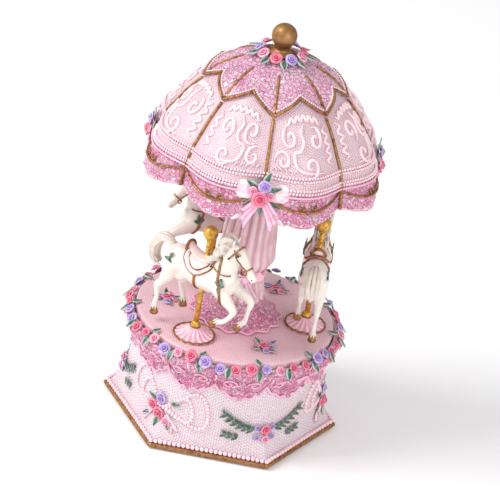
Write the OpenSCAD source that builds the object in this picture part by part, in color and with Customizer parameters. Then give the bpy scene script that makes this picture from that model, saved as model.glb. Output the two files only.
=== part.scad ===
// Carousel music box. A wind-up movement in a hexagonal base turns a platform that carries
// three horses, a curtained column and a domed canopy. Millimetres, Z up, origin at the
// middle of the resting plane. Angles named "a" start at -Y and grow towards +X.

/* [Base] */
// How far the hexagonal foot's corners reach beyond the round body
foot_flare = 9.8; // [8.5:0.1:14]
// Thickness of the gilded foot plate
foot_plate_t = 1.8; // [1.2:0.1:3]
// Thickness of the felt pads
pad_t = 0.8; // [0.5:0.1:1.5]
// Height of the body from the foot plate to its rim
body_h = 42; // [41:0.1:52]
// Thickness of the wall under the turntable
top_wall = 3; // [2:0.1:4]
// Smallest thickness of the side wall
side_wall = 3.2; // [2:0.1:4]
// Radius of the beads along the foot
bead_r = 0.9; // [0.6:0.05:1.2]

/* [Turntable] */
// Border of the turntable outside the pedestals
deck_border = 3.1; // [2.5:0.1:8]
// Thickness of the turntable
deck_t = 3.2; // [2.8:0.1:5]
// Running gap around and under the turntable
deck_gap = 0.5; // [0.3:0.1:0.8]

/* [Horses] */
// Gap between the pedestals and the column's foot
pedestal_gap = 0.8; // [0.4:0.1:6]
// Radius of the lower part of a pole
pole_r = 1.15; // [0.9:0.05:1.3]
// Height of the pole's ball above the turntable
pole_h = 48; // [46:0.5:56]
// Radius of the pole's ball
pole_ball_r = 3.1; // [2.5:0.1:4]
// Radius of a pedestal
pedestal_r = 9.2; // [7:0.1:9.4]
// Height of a pedestal
pedestal_h = 5; // [3:0.1:5.5]

/* [Column] */
// Height of the column, with its foot, above the turntable
column_h = 74; // [68:0.5:90]
// Largest radius of the curtained column
column_r = 11.4; // [9.5:0.1:12.5]
// Radius of the column's lace foot
column_foot_r = 19.5; // [15:0.1:19.6]
// Number of curtain folds
column_folds = 18; // [10:1:24]

/* [Canopy] */
// How far the middle of a panel reaches beyond the turntable
canopy_overhang = 8.6; // [6:0.1:14]
// Number of panels
panels = 8; // [6:2:10]
// Height of the dome from the top of its ribs to their ends
dome_h = 50; // [44:0.5:60]
// How far the valance hangs below the ends of the ribs
valance_drop = 4; // [2:0.5:12]
// Thickness of the canopy's wall
canopy_wall = 2.2; // [1.6:0.1:3]
// Turn of the canopy's ribs on the carousel
canopy_turn = 34; // [0:1:44]
// Radius of the gilded cord on the ribs
rib_r = 0.6; // [0.4:0.05:0.9]

/* [Finial] */
// Radius of the finial's ball
finial_ball_r = 5.15; // [4:0.05:6.5]
// Radius of the finial's collar
finial_collar_r = 5.8; // [4.5:0.1:7]

/* [Movement] */
// Radius of the output shaft
shaft_r = 2; // [1.5:0.1:2.5]
// Radius of the rod that ties column, canopy and finial
rod_r = 1.5; // [1:0.1:1.6]
// Radial clearance of shafts in their bores
fit_gap = 0.05; // [0.02:0.01:0.1]
// Height of the recess for the key above the foot plate
recess_h = 11.4; // [11.2:0.1:13]
// Length of the pinned cylinder
cylinder_len = 14.4; // [12:0.1:14.6]
// Radius of the pinned cylinder
cylinder_r = 6.2; // [5:0.1:6.25]
// Number of the comb's teeth
comb_teeth = 18; // [12:1:18]
// Span of the winding key
key_span = 21; // [16:0.5:26]

/* [Hidden] */
$fn = 64;

// Colours
RESIN = "#f0c8d2";
DECK = "#d99ba6";
LACE = "#e58fbb";
PEARL = "#f7d6dc";
ROSE = "#e2678c";
LILAC = "#b9a2d8";
LEAF = "#4f7a55";
GOLD = "#b98a4e";
IVORY = "#f4ebe2";
BRASS = "#c9a24a";
STEEL = "#b8bcc0";
FELT = "#5a4650";
PLASTIC = "#e9e4e6";

// Heights, from the resting plane up
plate_z = pad_t;
shell_z = plate_z + foot_plate_t;
mount_z = shell_z + recess_h;
mount_t = 2;
bed_z = mount_z + mount_t;
bed_t = 1.5;
bed_top = bed_z + bed_t;
rim_z = shell_z + body_h;
rim_step = 1.3;
shell_top = rim_z - rim_step;
deck_z = shell_top + deck_gap;
deck_top = deck_z + deck_t;
rib_end_z = deck_top + column_h - 2.7;
dome_top = rib_end_z + dome_h;

// Radii, from the column's foot outwards
pole_ring_r = column_foot_r + pedestal_gap + pedestal_r;
deck_r = pole_ring_r + pedestal_r + deck_border;
canopy_r = deck_r + canopy_overhang;
body_r = deck_r - 1.4;
foot_r = body_r + foot_flare;
rim_r = deck_r + 2.6;
cavity_r = body_r - side_wall;
corner_step = 60;
boss_r = 3.6;
boss_ring_r = cavity_r - boss_r - 2.4;
boss_angles = [0, 120, 240];
foot_opening_r = cavity_r - 4;
foot_screw_ring_r = cavity_r + 2.9;
foot_screw_angles = [0, 120, 240];
foot_screw_r = 1.1;
foot_screw_len = 6;
foot_screw_head = pad_t - 0.2;
plate_screw_r = 1;
plate_screw_len = 8;
bush_r = shaft_r + 1.8;

// Gear train: one pitch for every wheel
tooth_pitch = 1.505;
pin_height = 0.7;
great_teeth = 48;
crown_teeth = 24;
pinion_teeth = 12;
worm_wheel_teeth = 20;
worm_turns = 7;
function pitch_r(teeth) = teeth * tooth_pitch / 360 * 180 / PI;
great_r = pitch_r(great_teeth);
crown_r = pitch_r(crown_teeth);
pinion_r = pitch_r(pinion_teeth);
worm_wheel_r = pitch_r(worm_wheel_teeth);
addendum = 0.45;
dedendum = 0.55;
wheel_t = 1.5;
cylinder_z = bed_top + cylinder_r + pin_height + 0.2;
great_z = cylinder_z + crown_r - wheel_t / 2;
barrel_r = 8.6;
barrel_h = great_z - bed_top - 0.5;
idler_x = -(great_r + pinion_r + 0.08);
worm_thread = 0.35;
worm_core = 1.2;
worm_x = idler_x - worm_wheel_r - addendum - 1.15;
worm_wheel_z = bed_top + 4.6;
worm_z = worm_wheel_z + wheel_t / 2;
crown_x = great_r + 0.8;
cylinder_x = crown_x + 1.7;
pin_tip_r = cylinder_r + pin_height;
pin_root = 0.5;
pivot_r = 0.8;

function polar(r, a, z = 0) = [r * sin(a), -r * cos(a), z];
function smooth(t) = t <= 0 ? 0 : t >= 1 ? 1 : t * t * (3 - 2 * t);
// Value at x of a smooth curve through sorted pairs [x, value]
function along(pairs, x, i = 0) =
    x <= pairs[0][0] ? pairs[0][1] :
    i >= len(pairs) - 1 ? pairs[len(pairs) - 1][1] :
    x <= pairs[i + 1][0]
        ? pairs[i][1] + (pairs[i + 1][1] - pairs[i][1]) * (x - pairs[i][0]) / (pairs[i + 1][0] - pairs[i][0])
        : along(pairs, x, i + 1);

// Solid through a stack of rings that each hold the same number of points, anticlockwise
// from above. An open stack is capped at both ends, a looped one closes on itself.
module skin(rings, looped = false) {
    n = len(rings[0]);
    m = len(rings);
    last = looped ? m - 1 : m - 2;
    sides = [for (i = [0:last]) for (j = [0:n - 1])
        let (a = i * n + j, b = i * n + (j + 1) % n, k = (i + 1) % m,
             c = k * n + (j + 1) % n, d = k * n + j)
        each [[a, d, c], [a, c, b]]];
    caps = looped ? [] : [[for (j = [0:n - 1]) j], [for (j = [n - 1:-1:0]) (m - 1) * n + j]];
    polyhedron([for (ring = rings) each ring], concat(sides, caps), convexity = 8);
}

// Tube of the given radius through points; "closed" joins its ends
module tube(points, r, sides = 6, closed = false) {
    n = len(points);
    function at(i) = points[closed ? (i + n) % n : min(max(i, 0), n - 1)];
    function unit(v) = v / norm(v);
    rings = [for (i = [0:n - 1])
        let (dir = unit(at(i + 1) - at(i - 1)),
             side = unit(cross(dir, abs(dir[2]) < 0.9 ? [0, 0, 1] : [0, 1, 0])),
             up = cross(side, dir))
        [for (k = [0:sides - 1]) let (t = -360 * k / sides)
            points[i] + r * (cos(t) * side + sin(t) * up)]];
    skin(rings, closed);
}

// Body of changing thickness along stations [x, y, z, radius], "slim" across the y direction
module limb(stations, sides = 8, slim = 1) {
    last = len(stations) - 1;
    function at(i) = let (s = stations[min(max(i, 0), last)]) [s[0], s[1], s[2]];
    function unit(v) = v / norm(v);
    skin([for (i = [0:last])
        let (dir = unit(at(i + 1) - at(i - 1)),
             across = unit([0, 1, 0] - dir[1] * dir),
             up = cross(across, dir),
             r = stations[i][3])
        [for (k = [0:sides - 1]) let (t = -360 * (k + 0.5) / sides)
            at(i) + r * (slim * cos(t) * across + sin(t) * up)]]);
}

module placed(r, a, z) {
    translate(polar(r, a, z)) rotate([0, 0, a]) children();
}

module leaf(len_, wide, thick = 0.6) {
    linear_extrude(thick)
        polygon([for (t = [0:30:330]) [wide / 2 * sin(t) * (1 - 0.25 * cos(t)), len_ / 2 * cos(t)]]);
}

// ---------------------------------------------------------------- base

function hex_r(a) = foot_r * cos(30) / cos(a % 60 - 30);
flare_fall = 9;
foot_inset = 2;
// Radius of the body: hexagonal and flared at the foot, round above, stepped out at the rim
function shell_r(a, z) =
    let (foot = exp(-(z - shell_z) / flare_fall),
         lip = smooth((z - rim_z + 8.6) / 6))
    body_r + (hex_r(a) - foot_inset - body_r) * foot + (rim_r - body_r) * lip;

module base_shell() {
    heights = concat([for (h = [0, 1.5, 3.5, 6.5, 10.5, 15.5, 22]) shell_z + h],
                     [rim_z - 9, rim_z - 6.5, rim_z - 4, rim_z - 2, rim_z]);
    color(RESIN) difference() {
        skin([for (z = heights) [for (a = [0:5:355]) polar(shell_r(a, z), a, z)]]);
        translate([0, 0, shell_z - 1]) cylinder(h = body_h + 2, r = cavity_r);
        translate([0, 0, shell_top]) cylinder(h = rim_step + 1, r = deck_r + deck_gap);
        for (a = foot_screw_angles)
            translate(polar(foot_screw_ring_r, a, shell_z - 1))
                cylinder(h = foot_screw_len + 1, r = foot_screw_r);
    }
}

// Floor under the turntable, with the bosses that carry the movement's plate
module base_top() {
    color(RESIN) difference() {
        union() {
            translate([0, 0, shell_top - top_wall]) cylinder(h = top_wall, r = cavity_r);
            for (a = boss_angles)
                translate(polar(boss_ring_r, a, bed_z))
                    cylinder(h = shell_top - top_wall - bed_z + 0.5, r = boss_r);
        }
        translate([0, 0, shell_top - top_wall - 1]) cylinder(h = top_wall + 2, r = bush_r);
        for (a = boss_angles)
            translate(polar(boss_ring_r, a, bed_z - 1)) cylinder(h = plate_screw_len, r = plate_screw_r);
    }
}

module felt_pads() {
    pad_r = 3.5;
    color(FELT) for (a = [30:corner_step:359])
        translate(polar(foot_r * cos(30) - pad_r - 1, a)) cylinder(h = pad_t, r = pad_r);
}

module foot_plate() {
    color(GOLD) difference() {
        translate([0, 0, plate_z]) rotate([0, 0, 30]) cylinder(h = foot_plate_t, r = foot_r, $fn = 6);
        translate([0, 0, plate_z - 1]) cylinder(h = foot_plate_t + 2, r = foot_opening_r);
        for (a = foot_screw_angles)
            translate(polar(foot_screw_ring_r, a, plate_z - 1))
                cylinder(h = foot_plate_t + 2, r = foot_screw_r);
    }
}

module screw(head_r, head_h, shank_r, shank_h) {
    difference() {
        union() {
            cylinder(h = head_h, r = head_r);
            translate([0, 0, head_h]) cylinder(h = shank_h, r = shank_r);
        }
        translate([-head_r, -0.25, -0.1]) cube([2 * head_r, 0.5, head_h * 0.5 + 0.1]);
    }
}

module foot_plate_screws() {
    color(STEEL) for (a = foot_screw_angles)
        translate(polar(foot_screw_ring_r, a, plate_z - foot_screw_head))
            screw(2, foot_screw_head, foot_screw_r, foot_plate_t + foot_screw_len - 0.5);
}

module foot_beads() {
    color(PEARL) tube([for (a = [0:7.5:359])
        polar(hex_r(a) - foot_inset + 0.5 * bead_r, a, shell_z + bead_r)], bead_r, 6, true);
}

rose_r = 2;
rim_rose_count = 44;
rim_rose_r = deck_r + deck_gap + rose_r + 0.1;
function rim_rose_z(i) = rim_z + 0.3 + 0.7 * sin(i * 80);
module rim_roses() {
    color(ROSE) for (i = [0:rim_rose_count - 1])
        translate(polar(rim_rose_r, (i + 0.5) * 360 / rim_rose_count, rim_rose_z(i)))
            sphere(r = rose_r, $fn = 24);
}

module rim_leaves() {
    color(LEAF) for (i = [0:rim_rose_count / 2 - 1])
        placed(rim_r + 0.5, (i + 0.25) * 720 / rim_rose_count, rim_z - 4.4)
            rotate([90, i % 2 == 0 ? 25 : -25, 0]) leaf(4.2, 2.4);
}

bow_z = shell_z + 17;
module body_bows() {
    color(PEARL) for (i = [0:2]) placed(shell_r(0, bow_z) + 0.6, i * 120, bow_z) {
        for (side = [-1, 1]) {
            translate([side * 5.6, 0.5 + 0.5, 1]) rotate([90, 0, side * 12])
                rotate_extrude($fn = 32) translate([4.2, 0]) circle(r = bead_r, $fn = 16);
            translate([side * 2.4, 0, -4.4]) rotate([90, side * 24, 0]) leaf(8, 3.4, 1.4);
        }
        for (p = [[0, 1.6], [-1.8, -1.4], [1.8, -1.2]])
            translate([p[0], -1, p[1]]) sphere(r = rose_r * 0.95, $fn = 24);
    }
}

garland_z = shell_z + 10;
garland_half = 18;
module body_garlands() {
    drop = 5;
    color(LEAF) for (i = [0:2]) {
        for (k = [-4:4]) if (k != 0)
            let (a = 60 + i * 120 + k * garland_half / 4, z = garland_z + drop * k * k / 16)
                placed(shell_r(a, z) + 0.4, a, z) rotate([90, k * 20, 0]) leaf(2.6, 1.7, 0.9);
        placed(shell_r(60, garland_z) + 0.5, 60 + i * 120, garland_z) sphere(r = rose_r * 0.8, $fn = 24);
    }
}

// ---------------------------------------------------------------- mounting of the movement

module mount_plate() {
    color(PLASTIC) difference() {
        translate([0, 0, mount_z]) cylinder(h = mount_t, r = cavity_r - 0.2);
        translate([0, 0, mount_z - 1]) cylinder(h = mount_t + 2, r = key_hole_r);
        for (a = boss_angles)
            translate(polar(boss_ring_r, a, mount_z - 1)) cylinder(h = mount_t + 2, r = plate_screw_r);
        for (p = movement_screw_at)
            translate([p[0], p[1], mount_z - 1]) cylinder(h = mount_t + 2, r = 0.9);
    }
}

key_stem_r = 1.8;
key_hole_r = key_stem_r + 0.8;
movement_screw_at = [[26, 4], [-22, -8.5], [4, -14]];

module mount_plate_screws() {
    color(STEEL) for (a = boss_angles)
        translate(polar(boss_ring_r, a, mount_z - 1)) screw(2.2, 1, plate_screw_r, plate_screw_len);
}

module movement_screws() {
    color(STEEL) for (p = movement_screw_at)
        translate([p[0], p[1], mount_z - 0.9]) screw(1.8, 0.9, 0.9, mount_t + bed_t);
}

// ---------------------------------------------------------------- movement

comb_tip_y = -(pin_tip_r + 0.15);
comb_root_y = comb_tip_y - 7.4;
comb_back_y = comb_root_y - 5;
comb_t = 0.7;
comb_screw_x = [cylinder_x + 3.2, cylinder_x + cylinder_len - 3.2];
end_bracket_x = cylinder_x + cylinder_len + 1;
near_bracket_x = barrel_r + 1;
bracket_t = 1.2;

module bedplate() {
    x1 = end_bracket_x + bracket_t + 1;
    x0 = worm_x - 6;
    color(BRASS) difference() {
        union() {
            translate([0, 0, bed_z]) linear_extrude(bed_t)
                polygon([[x0, -11], [-4, -17], [cylinder_x - 1, comb_back_y - 0.6],
                         [x1 - 2, comb_back_y - 0.6], [x1, -8], [x1, 7], [cylinder_x - 2, 10], [x0, 11]]);
            translate([cylinder_x - 0.5, comb_back_y, bed_top])
                cube([cylinder_len + 1, comb_root_y - comb_back_y - 0.4, cylinder_z - comb_t / 2 - bed_top]);
        }
        translate([0, 0, bed_z - 1]) cylinder(h = bed_t + 2, r = key_stem_r + fit_gap);
        for (p = movement_screw_at)
            translate([p[0], p[1], bed_z - 1]) cylinder(h = bed_t + 2, r = 0.9);
        for (x = comb_screw_x)
            translate([x, (comb_root_y + comb_back_y) / 2, cylinder_z - 5]) cylinder(h = 6, r = 0.8);
        translate([idler_x, 0, bed_z - 1]) cylinder(h = bed_t + 2, r = pivot_r + fit_gap);
    }
}

module spring_barrel() {
    color(BRASS) difference() {
        translate([0, 0, bed_top]) cylinder(h = barrel_h, r = barrel_r);
        translate([0, 0, bed_top + 0.8]) cylinder(h = barrel_h, r = barrel_r - 0.8);
        translate([0, 0, bed_top - 1]) cylinder(h = 3, r = key_hole_r);
    }
}

// Flat spiral from the arbor to the barrel's wall
module mainspring() {
    turns = 5;
    strip = 0.35;
    r0 = shaft_r + 0.6;
    r1 = barrel_r - 0.8 - 0.1 - strip;
    steps = turns * 18;
    function spiral(i, w) = let (r = r0 + (r1 - r0) * i / steps + w, a = i * 20) [r * cos(a), r * sin(a)];
    color(STEEL) translate([0, 0, bed_top + 1.2]) linear_extrude(barrel_h - 2.4)
        polygon(concat([for (i = [0:steps]) spiral(i, 0)], [for (i = [steps:-1:0]) spiral(i, strip)]));
}

module comb() {
    pitch = cylinder_len / comb_teeth;
    color(STEEL) translate([0, 0, cylinder_z - comb_t / 2]) difference() {
        linear_extrude(comb_t) union() {
            translate([cylinder_x, comb_back_y]) square([cylinder_len, comb_root_y - comb_back_y]);
            for (i = [0:comb_teeth - 1])
                translate([cylinder_x + (i + 0.5) * pitch - 0.26, comb_root_y - 0.1])
                    square([0.52, comb_tip_y - comb_root_y + 0.1]);
        }
        for (x = comb_screw_x)
            translate([x, (comb_root_y + comb_back_y) / 2, -1]) cylinder(h = 3, r = 0.8);
    }
}

module comb_screws() {
    color(BRASS) for (x = comb_screw_x)
        translate([x, (comb_root_y + comb_back_y) / 2, cylinder_z + comb_t / 2 + 1])
            mirror([0, 0, 1]) screw(1.7, 1, 0.8, comb_t + 4);
}

module cylinder_brackets() {
    color(BRASS) for (x = [near_bracket_x, end_bracket_x]) difference() {
        translate([x, -2.6, bed_top]) cube([bracket_t, 5.2, cylinder_z - bed_top + 2.4]);
        translate([x - 1, 0, cylinder_z]) rotate([0, 90, 0])
            cylinder(h = bracket_t + 2, r = pivot_r + fit_gap);
    }
}

governor_half = worm_turns * tooth_pitch / 2;
bridge_z = great_z + wheel_t + 1.2;
module governor_bracket() {
    color(BRASS) {
        for (y = [-governor_half - 1.6, governor_half + 0.4]) difference() {
            translate([worm_x - 2, y, bed_top]) cube([3.4, 1.2, worm_z - bed_top + 2]);
            translate([worm_x, y - 1, worm_z]) rotate([-90, 0, 0]) cylinder(h = 4, r = 0.5 + fit_gap);
        }
        difference() {
            union() {
                translate([idler_x - 1.8, -10.4, bridge_z]) cube([3.6, 13, 1.1]);
                translate([idler_x, -8.8, bed_top]) cylinder(h = bridge_z - bed_top, r = 1.4);
            }
            translate([idler_x, 0, bridge_z - 1]) cylinder(h = 4, r = pivot_r + fit_gap);
        }
    }
}

module bearing_bush() {
    color(BRASS) difference() {
        union() {
            translate([0, 0, shell_top - top_wall]) cylinder(h = top_wall, r = bush_r);
            translate([0, 0, shell_top - top_wall - 1]) cylinder(h = 1, r = bush_r + 1.5);
        }
        translate([0, 0, shell_top - top_wall - 2]) cylinder(h = top_wall + 4, r = shaft_r + fit_gap);
    }
}

// Flat wheel with straight-sided teeth; one tooth points along +X
module wheel(teeth, thick, bore) {
    r = pitch_r(teeth);
    turn = 360 / teeth;
    tooth = [[-0.25, -dedendum], [-0.12, addendum], [0.12, addendum], [0.25, -dedendum]];
    linear_extrude(thick) difference() {
        polygon([for (k = [0:teeth - 1]) for (p = tooth)
            (r + p[1]) * [cos((k + p[0]) * turn), sin((k + p[0]) * turn)]]);
        circle(r = bore);
    }
}

module great_wheel() {
    color(BRASS) translate([0, 0, great_z]) rotate([0, 0, 180 / great_teeth])
        wheel(great_teeth, wheel_t, shaft_r);
}

module output_shaft() {
    color(STEEL) translate([0, 0, bed_top + 4]) cylinder(h = hub_z + hub_socket - bed_top - 4, r = shaft_r);
}

module crown_gear() {
    color(BRASS) translate([crown_x, 0, cylinder_z]) rotate([0, 90, 0]) {
        difference() {
            cylinder(h = 1.2, r = crown_r + 0.5);
            translate([0, 0, -1]) cylinder(h = 4, r = pivot_r);
        }
        for (k = [0:crown_teeth - 1]) rotate([0, 0, 15 * k])
            translate([crown_r - 0.5, -0.25, -1.15]) cube([1, 0.5, 1.25]);
    }
}

module cylinder_() {
    color(BRASS) translate([0, 0, cylinder_z]) rotate([0, 90, 0]) {
        translate([0, 0, cylinder_x]) cylinder(h = cylinder_len, r = cylinder_r);
        translate([0, 0, near_bracket_x])
            cylinder(h = end_bracket_x + bracket_t - near_bracket_x, r = pivot_r);
    }
}

module cylinder_pins() {
    pitch = cylinder_len / comb_teeth;
    color(STEEL) for (i = [0:comb_teeth - 1]) for (k = [0:3])
        translate([cylinder_x + (i + 0.5) * pitch, 0, cylinder_z])
            rotate([i * 137.5 + k * 90 + 23 * (k % 2) + 31, 0, 0])
                translate([0, 0, cylinder_r - pin_root])
                    cylinder(h = pin_tip_r - cylinder_r + pin_root, r = 0.2, $fn = 16);
}

module idler() {
    color(BRASS) translate([idler_x, 0, 0]) {
        translate([0, 0, bed_z + 0.2]) cylinder(h = bridge_z + 1 - bed_z - 0.2, r = pivot_r);
        translate([0, 0, great_z - 0.2]) wheel(pinion_teeth, wheel_t + 0.4, pivot_r / 2);
        translate([0, 0, worm_wheel_z]) wheel(worm_wheel_teeth, wheel_t, pivot_r / 2);
    }
}

// One-start thread: the core's centre circles the axis once in each pitch, and it leans
// towards +X half a pitch to either side of the middle
module governor_worm() {
    slices = 12;
    sides = 10;
    color(STEEL) {
        skin([for (i = [0:worm_turns * slices])
            let (y = -governor_half + i * tooth_pitch / slices, lean = 180 + 360 * y / tooth_pitch)
            [for (k = [0:sides - 1]) let (t = lean + 360 * k / sides)
                [worm_x + worm_thread * cos(lean) + worm_core * cos(t), y,
                 worm_z - worm_thread * sin(lean) - worm_core * sin(t)]]]);
        translate([worm_x, -governor_half - 1.6, worm_z]) rotate([-90, 0, 0])
            cylinder(h = 2 * governor_half + 7, r = 0.5);
    }
}

module governor_fan() {
    y0 = governor_half + 2.1;
    color(STEEL) translate([worm_x, y0, worm_z]) rotate([-90, 0, 0]) difference() {
        union() {
            cylinder(h = 2.6, r = 1.3);
            translate([-4.3, -0.25, 0]) cube([8.6, 0.5, 2.6]);
        }
        translate([0, 0, -1]) cylinder(h = 5, r = 0.5);
    }
}

module winding_key() {
    stem_z = mount_z - 2.2;
    color(BRASS) {
        translate([0, 0, stem_z]) cylinder(h = bed_top + 3.8 - stem_z, r = key_stem_r);
        translate([0, 0, stem_z - 1.8]) cylinder(h = 1.8, r = 3);
        translate([0, 0.6, stem_z - 4.6]) rotate([90, 0, 0]) linear_extrude(1.2) difference() {
            union() for (side = [-1, 1]) {
                translate([side * (key_span / 2 - 3.3), 0]) circle(r = 3.3);
                translate([side > 0 ? 0 : -(key_span / 2 - 3.3), -2]) square([key_span / 2 - 3.3, 5]);
            }
            for (side = [-1, 1]) translate([side * (key_span / 2 - 3.3), 0]) circle(r = 1.4);
        }
    }
}

// ---------------------------------------------------------------- turntable and its drive

hub_r = 7;
hub_t = 1.2;
hub_z = deck_z;
hub_socket = 1.8;
hub_neck_r = shaft_r + 0.8;
pole_socket = 1.6;
hub_screw_ring_r = 5;

module turntable() {
    color(DECK) difference() {
        rotate_extrude() polygon([[0, deck_z], [deck_r - 1.2, deck_z], [deck_r, deck_z + 0.8],
            [deck_r, deck_top - 0.9], [deck_r - 0.3, deck_top - 0.25], [deck_r - 1, deck_top],
            [0, deck_top]]);
        translate([0, 0, deck_z - 1]) cylinder(h = hub_t + 1, r = hub_r);
        translate([0, 0, deck_z - 1]) cylinder(h = deck_t + 2, r = hub_neck_r);
        for (i = [0:2])
            translate(polar(pole_ring_r, i * horse_step, deck_top - pole_socket)) cylinder(h = 3, r = pole_r);
        for (a = [0:120:359])
            translate(polar(hub_screw_ring_r, a, deck_z)) cylinder(h = deck_t - 0.4, r = 0.6);
    }
}

module turntable_hub() {
    color(BRASS) difference() {
        union() {
            translate([0, 0, hub_z]) cylinder(h = hub_t, r = hub_r);
            translate([0, 0, hub_z + hub_t]) cylinder(h = deck_t - hub_t, r = hub_neck_r);
        }
        translate([0, 0, hub_z - 1]) cylinder(h = hub_socket + 1, r = shaft_r);
        translate([0, 0, hub_z]) cylinder(h = deck_t + 1, r = rod_r);
        for (a = [0:120:359])
            translate(polar(hub_screw_ring_r, a, hub_z - 1)) cylinder(h = 4, r = 1.1);
    }
}

module hub_screws() {
    color(STEEL) for (a = [0:120:359])
        translate(polar(hub_screw_ring_r, a, hub_z + 0.1)) {
            cylinder(h = hub_t - 0.1, r = 1.1);
            cylinder(h = deck_t - 0.6, r = 0.6);
        }
}

module tie_rod() {
    color(STEEL) translate([0, 0, hub_z + hub_socket])
        cylinder(h = finial_z + finial_bore - hub_z - hub_socket, r = rod_r);
}

module deck_posies() {
    for (i = [0:2]) placed(pole_ring_r, (i + 0.5) * horse_step, deck_top) {
        color(ROSE) for (p = [[-2.2, 0.6], [1.6, -1]])
            translate([p[0], p[1], 1.2]) sphere(r = 1.8, $fn = 24);
        color(LEAF) for (p = [[-6.1, 0.4, 80], [5.6, -1, -80], [0.4, 4.6, 20]])
            translate([p[0], p[1], 0]) rotate([0, 0, p[2]]) leaf(3.6, 2.2, 0.9);
    }
}

// ---------------------------------------------------------------- horses

horse_step = 120;

module pedestal(i) {
    color(PEARL) translate(polar(pole_ring_r, i * horse_step, deck_top)) rotate_extrude()
        polygon([[pole_r, 0], [pedestal_r - 0.3, 0], [pedestal_r, 0.5], [pedestal_r - 0.1, 1.2],
                 [pedestal_r * 0.72, pedestal_h * 0.5], [pedestal_r * 0.4, pedestal_h * 0.82],
                 [pedestal_r * 0.3, pedestal_h], [pole_r, pedestal_h]]);
}

module pole(i) {
    color(BRASS) translate(polar(pole_ring_r, i * horse_step, deck_top)) {
        translate([0, 0, -pole_socket]) cylinder(h = seat_z + pole_socket + 0.1, r = pole_r);
        translate([0, 0, seat_z]) cylinder(h = pole_h - seat_z, r1 = pole_r + 0.25, r2 = pole_r + 0.65);
        translate([0, 0, pole_h]) sphere(r = pole_ball_r, $fn = 32);
    }
}

seat_z = 38;
hole_gap = 0.2;
// Each row runs through stations [x, y, z, radius] of the horse; x is forward, z is up
// from the turntable, and the pole stands at x = 0
trunk = [[-17.6, 0, 31.4, 1.6], [-16.4, 0, 31.2, 4.4], [-13.4, 0, 30.8, 6], [-7, 0, 29.4, 6.3],
         [0, 0, 28.6, 6.4], [6, 0, 29, 6.5], [11, 0, 30.4, 6.2], [15, 0, 31.4, 4.4], [16.4, 0, 31.8, 1.6]];
neck = [[7.6, 0, 31, 5.4], [10.6, 0, 36.6, 4.9], [12, 0, 41, 3.9], [13, 0, 45, 3.2], [13.4, 0, 48.6, 2]];
head = [[11.8, 0, 47.6, 1.5], [13.8, 0, 46.2, 3.2], [17.2, 0, 43.6, 3], [20.4, 0, 40, 2], [23, 0, 37.4, 2],
        [24.4, 0, 35.6, 1.3]];
saddle = [[-8.8, 0, 36.4, 1.4], [-6.2, 0, 34.6, 3.4], [-1, 0, 33.4, 4], [3.4, 0, 34.2, 3.4],
          [4.8, 0, 35.8, 1.2]];
near_fore = [[11, 2.6, 29, 4], [16, 3.2, 26.6, 2.6], [21.6, 3.6, 24.8, 1.8], [21.4, 3.6, 20, 1.1],
             [20.8, 3.6, 15, 1.2], [18.4, 3.6, 11.8, 1], [17, 3.6, 9, 1.8]];
far_fore = [[10, -2.6, 28, 4], [14, -3.4, 24.6, 2.7], [19.4, -3.9, 21.6, 1.8], [17.6, -3.9, 17.6, 1.1],
            [14.4, -3.9, 13.8, 1.2], [12, -3.9, 13.4, 1], [9.6, -3.9, 11.4, 1.8]];
near_hind = [[-11.8, 2.6, 29.6, 4.6], [-9.4, 3.4, 25, 3.2], [-11.4, 3.8, 20.4, 1.9], [-12.4, 3.8, 16, 1.1],
             [-10.6, 3.8, 12.4, 1.1], [-10.4, 3.8, 9.4, 1.8]];
far_hind = [[-13.2, -2.6, 29.6, 4.8], [-14.6, -3.6, 23, 3.1], [-18.6, -3.8, 16.4, 1.8],
            [-18.4, -3.8, 10, 1.2], [-19, -3.8, 6.6, 1.1], [-18.6, -3.8, 4.4, 1.8]];
tail = [[-15.6, 0, 34.4, 1.2], [-19, 0, 37.4, 1.5], [-23, 0, 37.4, 2], [-26, 0, 32.6, 2.4], [-26, 0, 26, 2.2],
        [-22.6, 0, 22.6, 1]];

module horse(i) {
    color(IVORY) placed(pole_ring_r, i * horse_step, deck_top) difference() {
        union() {
            limb(trunk, 12, 0.82);
            limb(neck, 10, 0.6);
            limb(head, 8, 0.72);
            limb(saddle, 8, 1.1);
            for (leg = [near_fore, far_fore, near_hind, far_hind]) limb(leg, 8, 0.8);
            limb(tail, 8, 0.7);
            for (side = [-1, 1]) limb([[12.2, side * 1.3, 47.6, 0.9], [12.4, side * 1.8, 51.4, 0.3]], 6);
        }
        translate([0, 0, 18]) cylinder(h = 30, r = pole_r + hole_gap);
    }
}

// ---------------------------------------------------------------- column

foot_h = 10;
rod_hole_r = rod_r + 0.2;
column_z = deck_top + foot_h;
column_top_z = deck_top + column_h;
tie_share = 0.17;
tie_r = column_r * 0.78;
// Share of the column's largest radius at a share of its height: gathered in by the tie
column_shape = [[0, 0.95], [0.08, 0.86], [tie_share - 0.04, 0.78], [tie_share + 0.04, 0.78],
                [0.24, 0.95], [0.38, 1], [0.55, 0.93], [0.75, 0.83], [0.9, 0.84], [1, 0.95]];
column_stations = [0, 0.06, tie_share - 0.04, tie_share + 0.04, 0.24, 0.34, 0.45, 0.58, 0.75, 0.9, 1];
function column_ring(share) =
    let (r = column_r * along(column_shape, share), fold = abs(share - tie_share) < 0.041 ? 0 : 0.55)
    [for (a = [0:360 / (column_folds * 4):359.9])
        polar(r + fold * (cos(a * column_folds) - 1), a, column_z + share * (column_top_z - column_z))];

module column_foot() {
    color(LACE) translate([0, 0, deck_top]) rotate_extrude()
        polygon([[rod_hole_r, 0], [column_foot_r, 0], [column_foot_r, 1], [column_foot_r * 0.86, 2.6],
                 [column_foot_r * 0.7, 5], [column_r * 1.02, foot_h], [rod_hole_r, foot_h]]);
}

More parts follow.
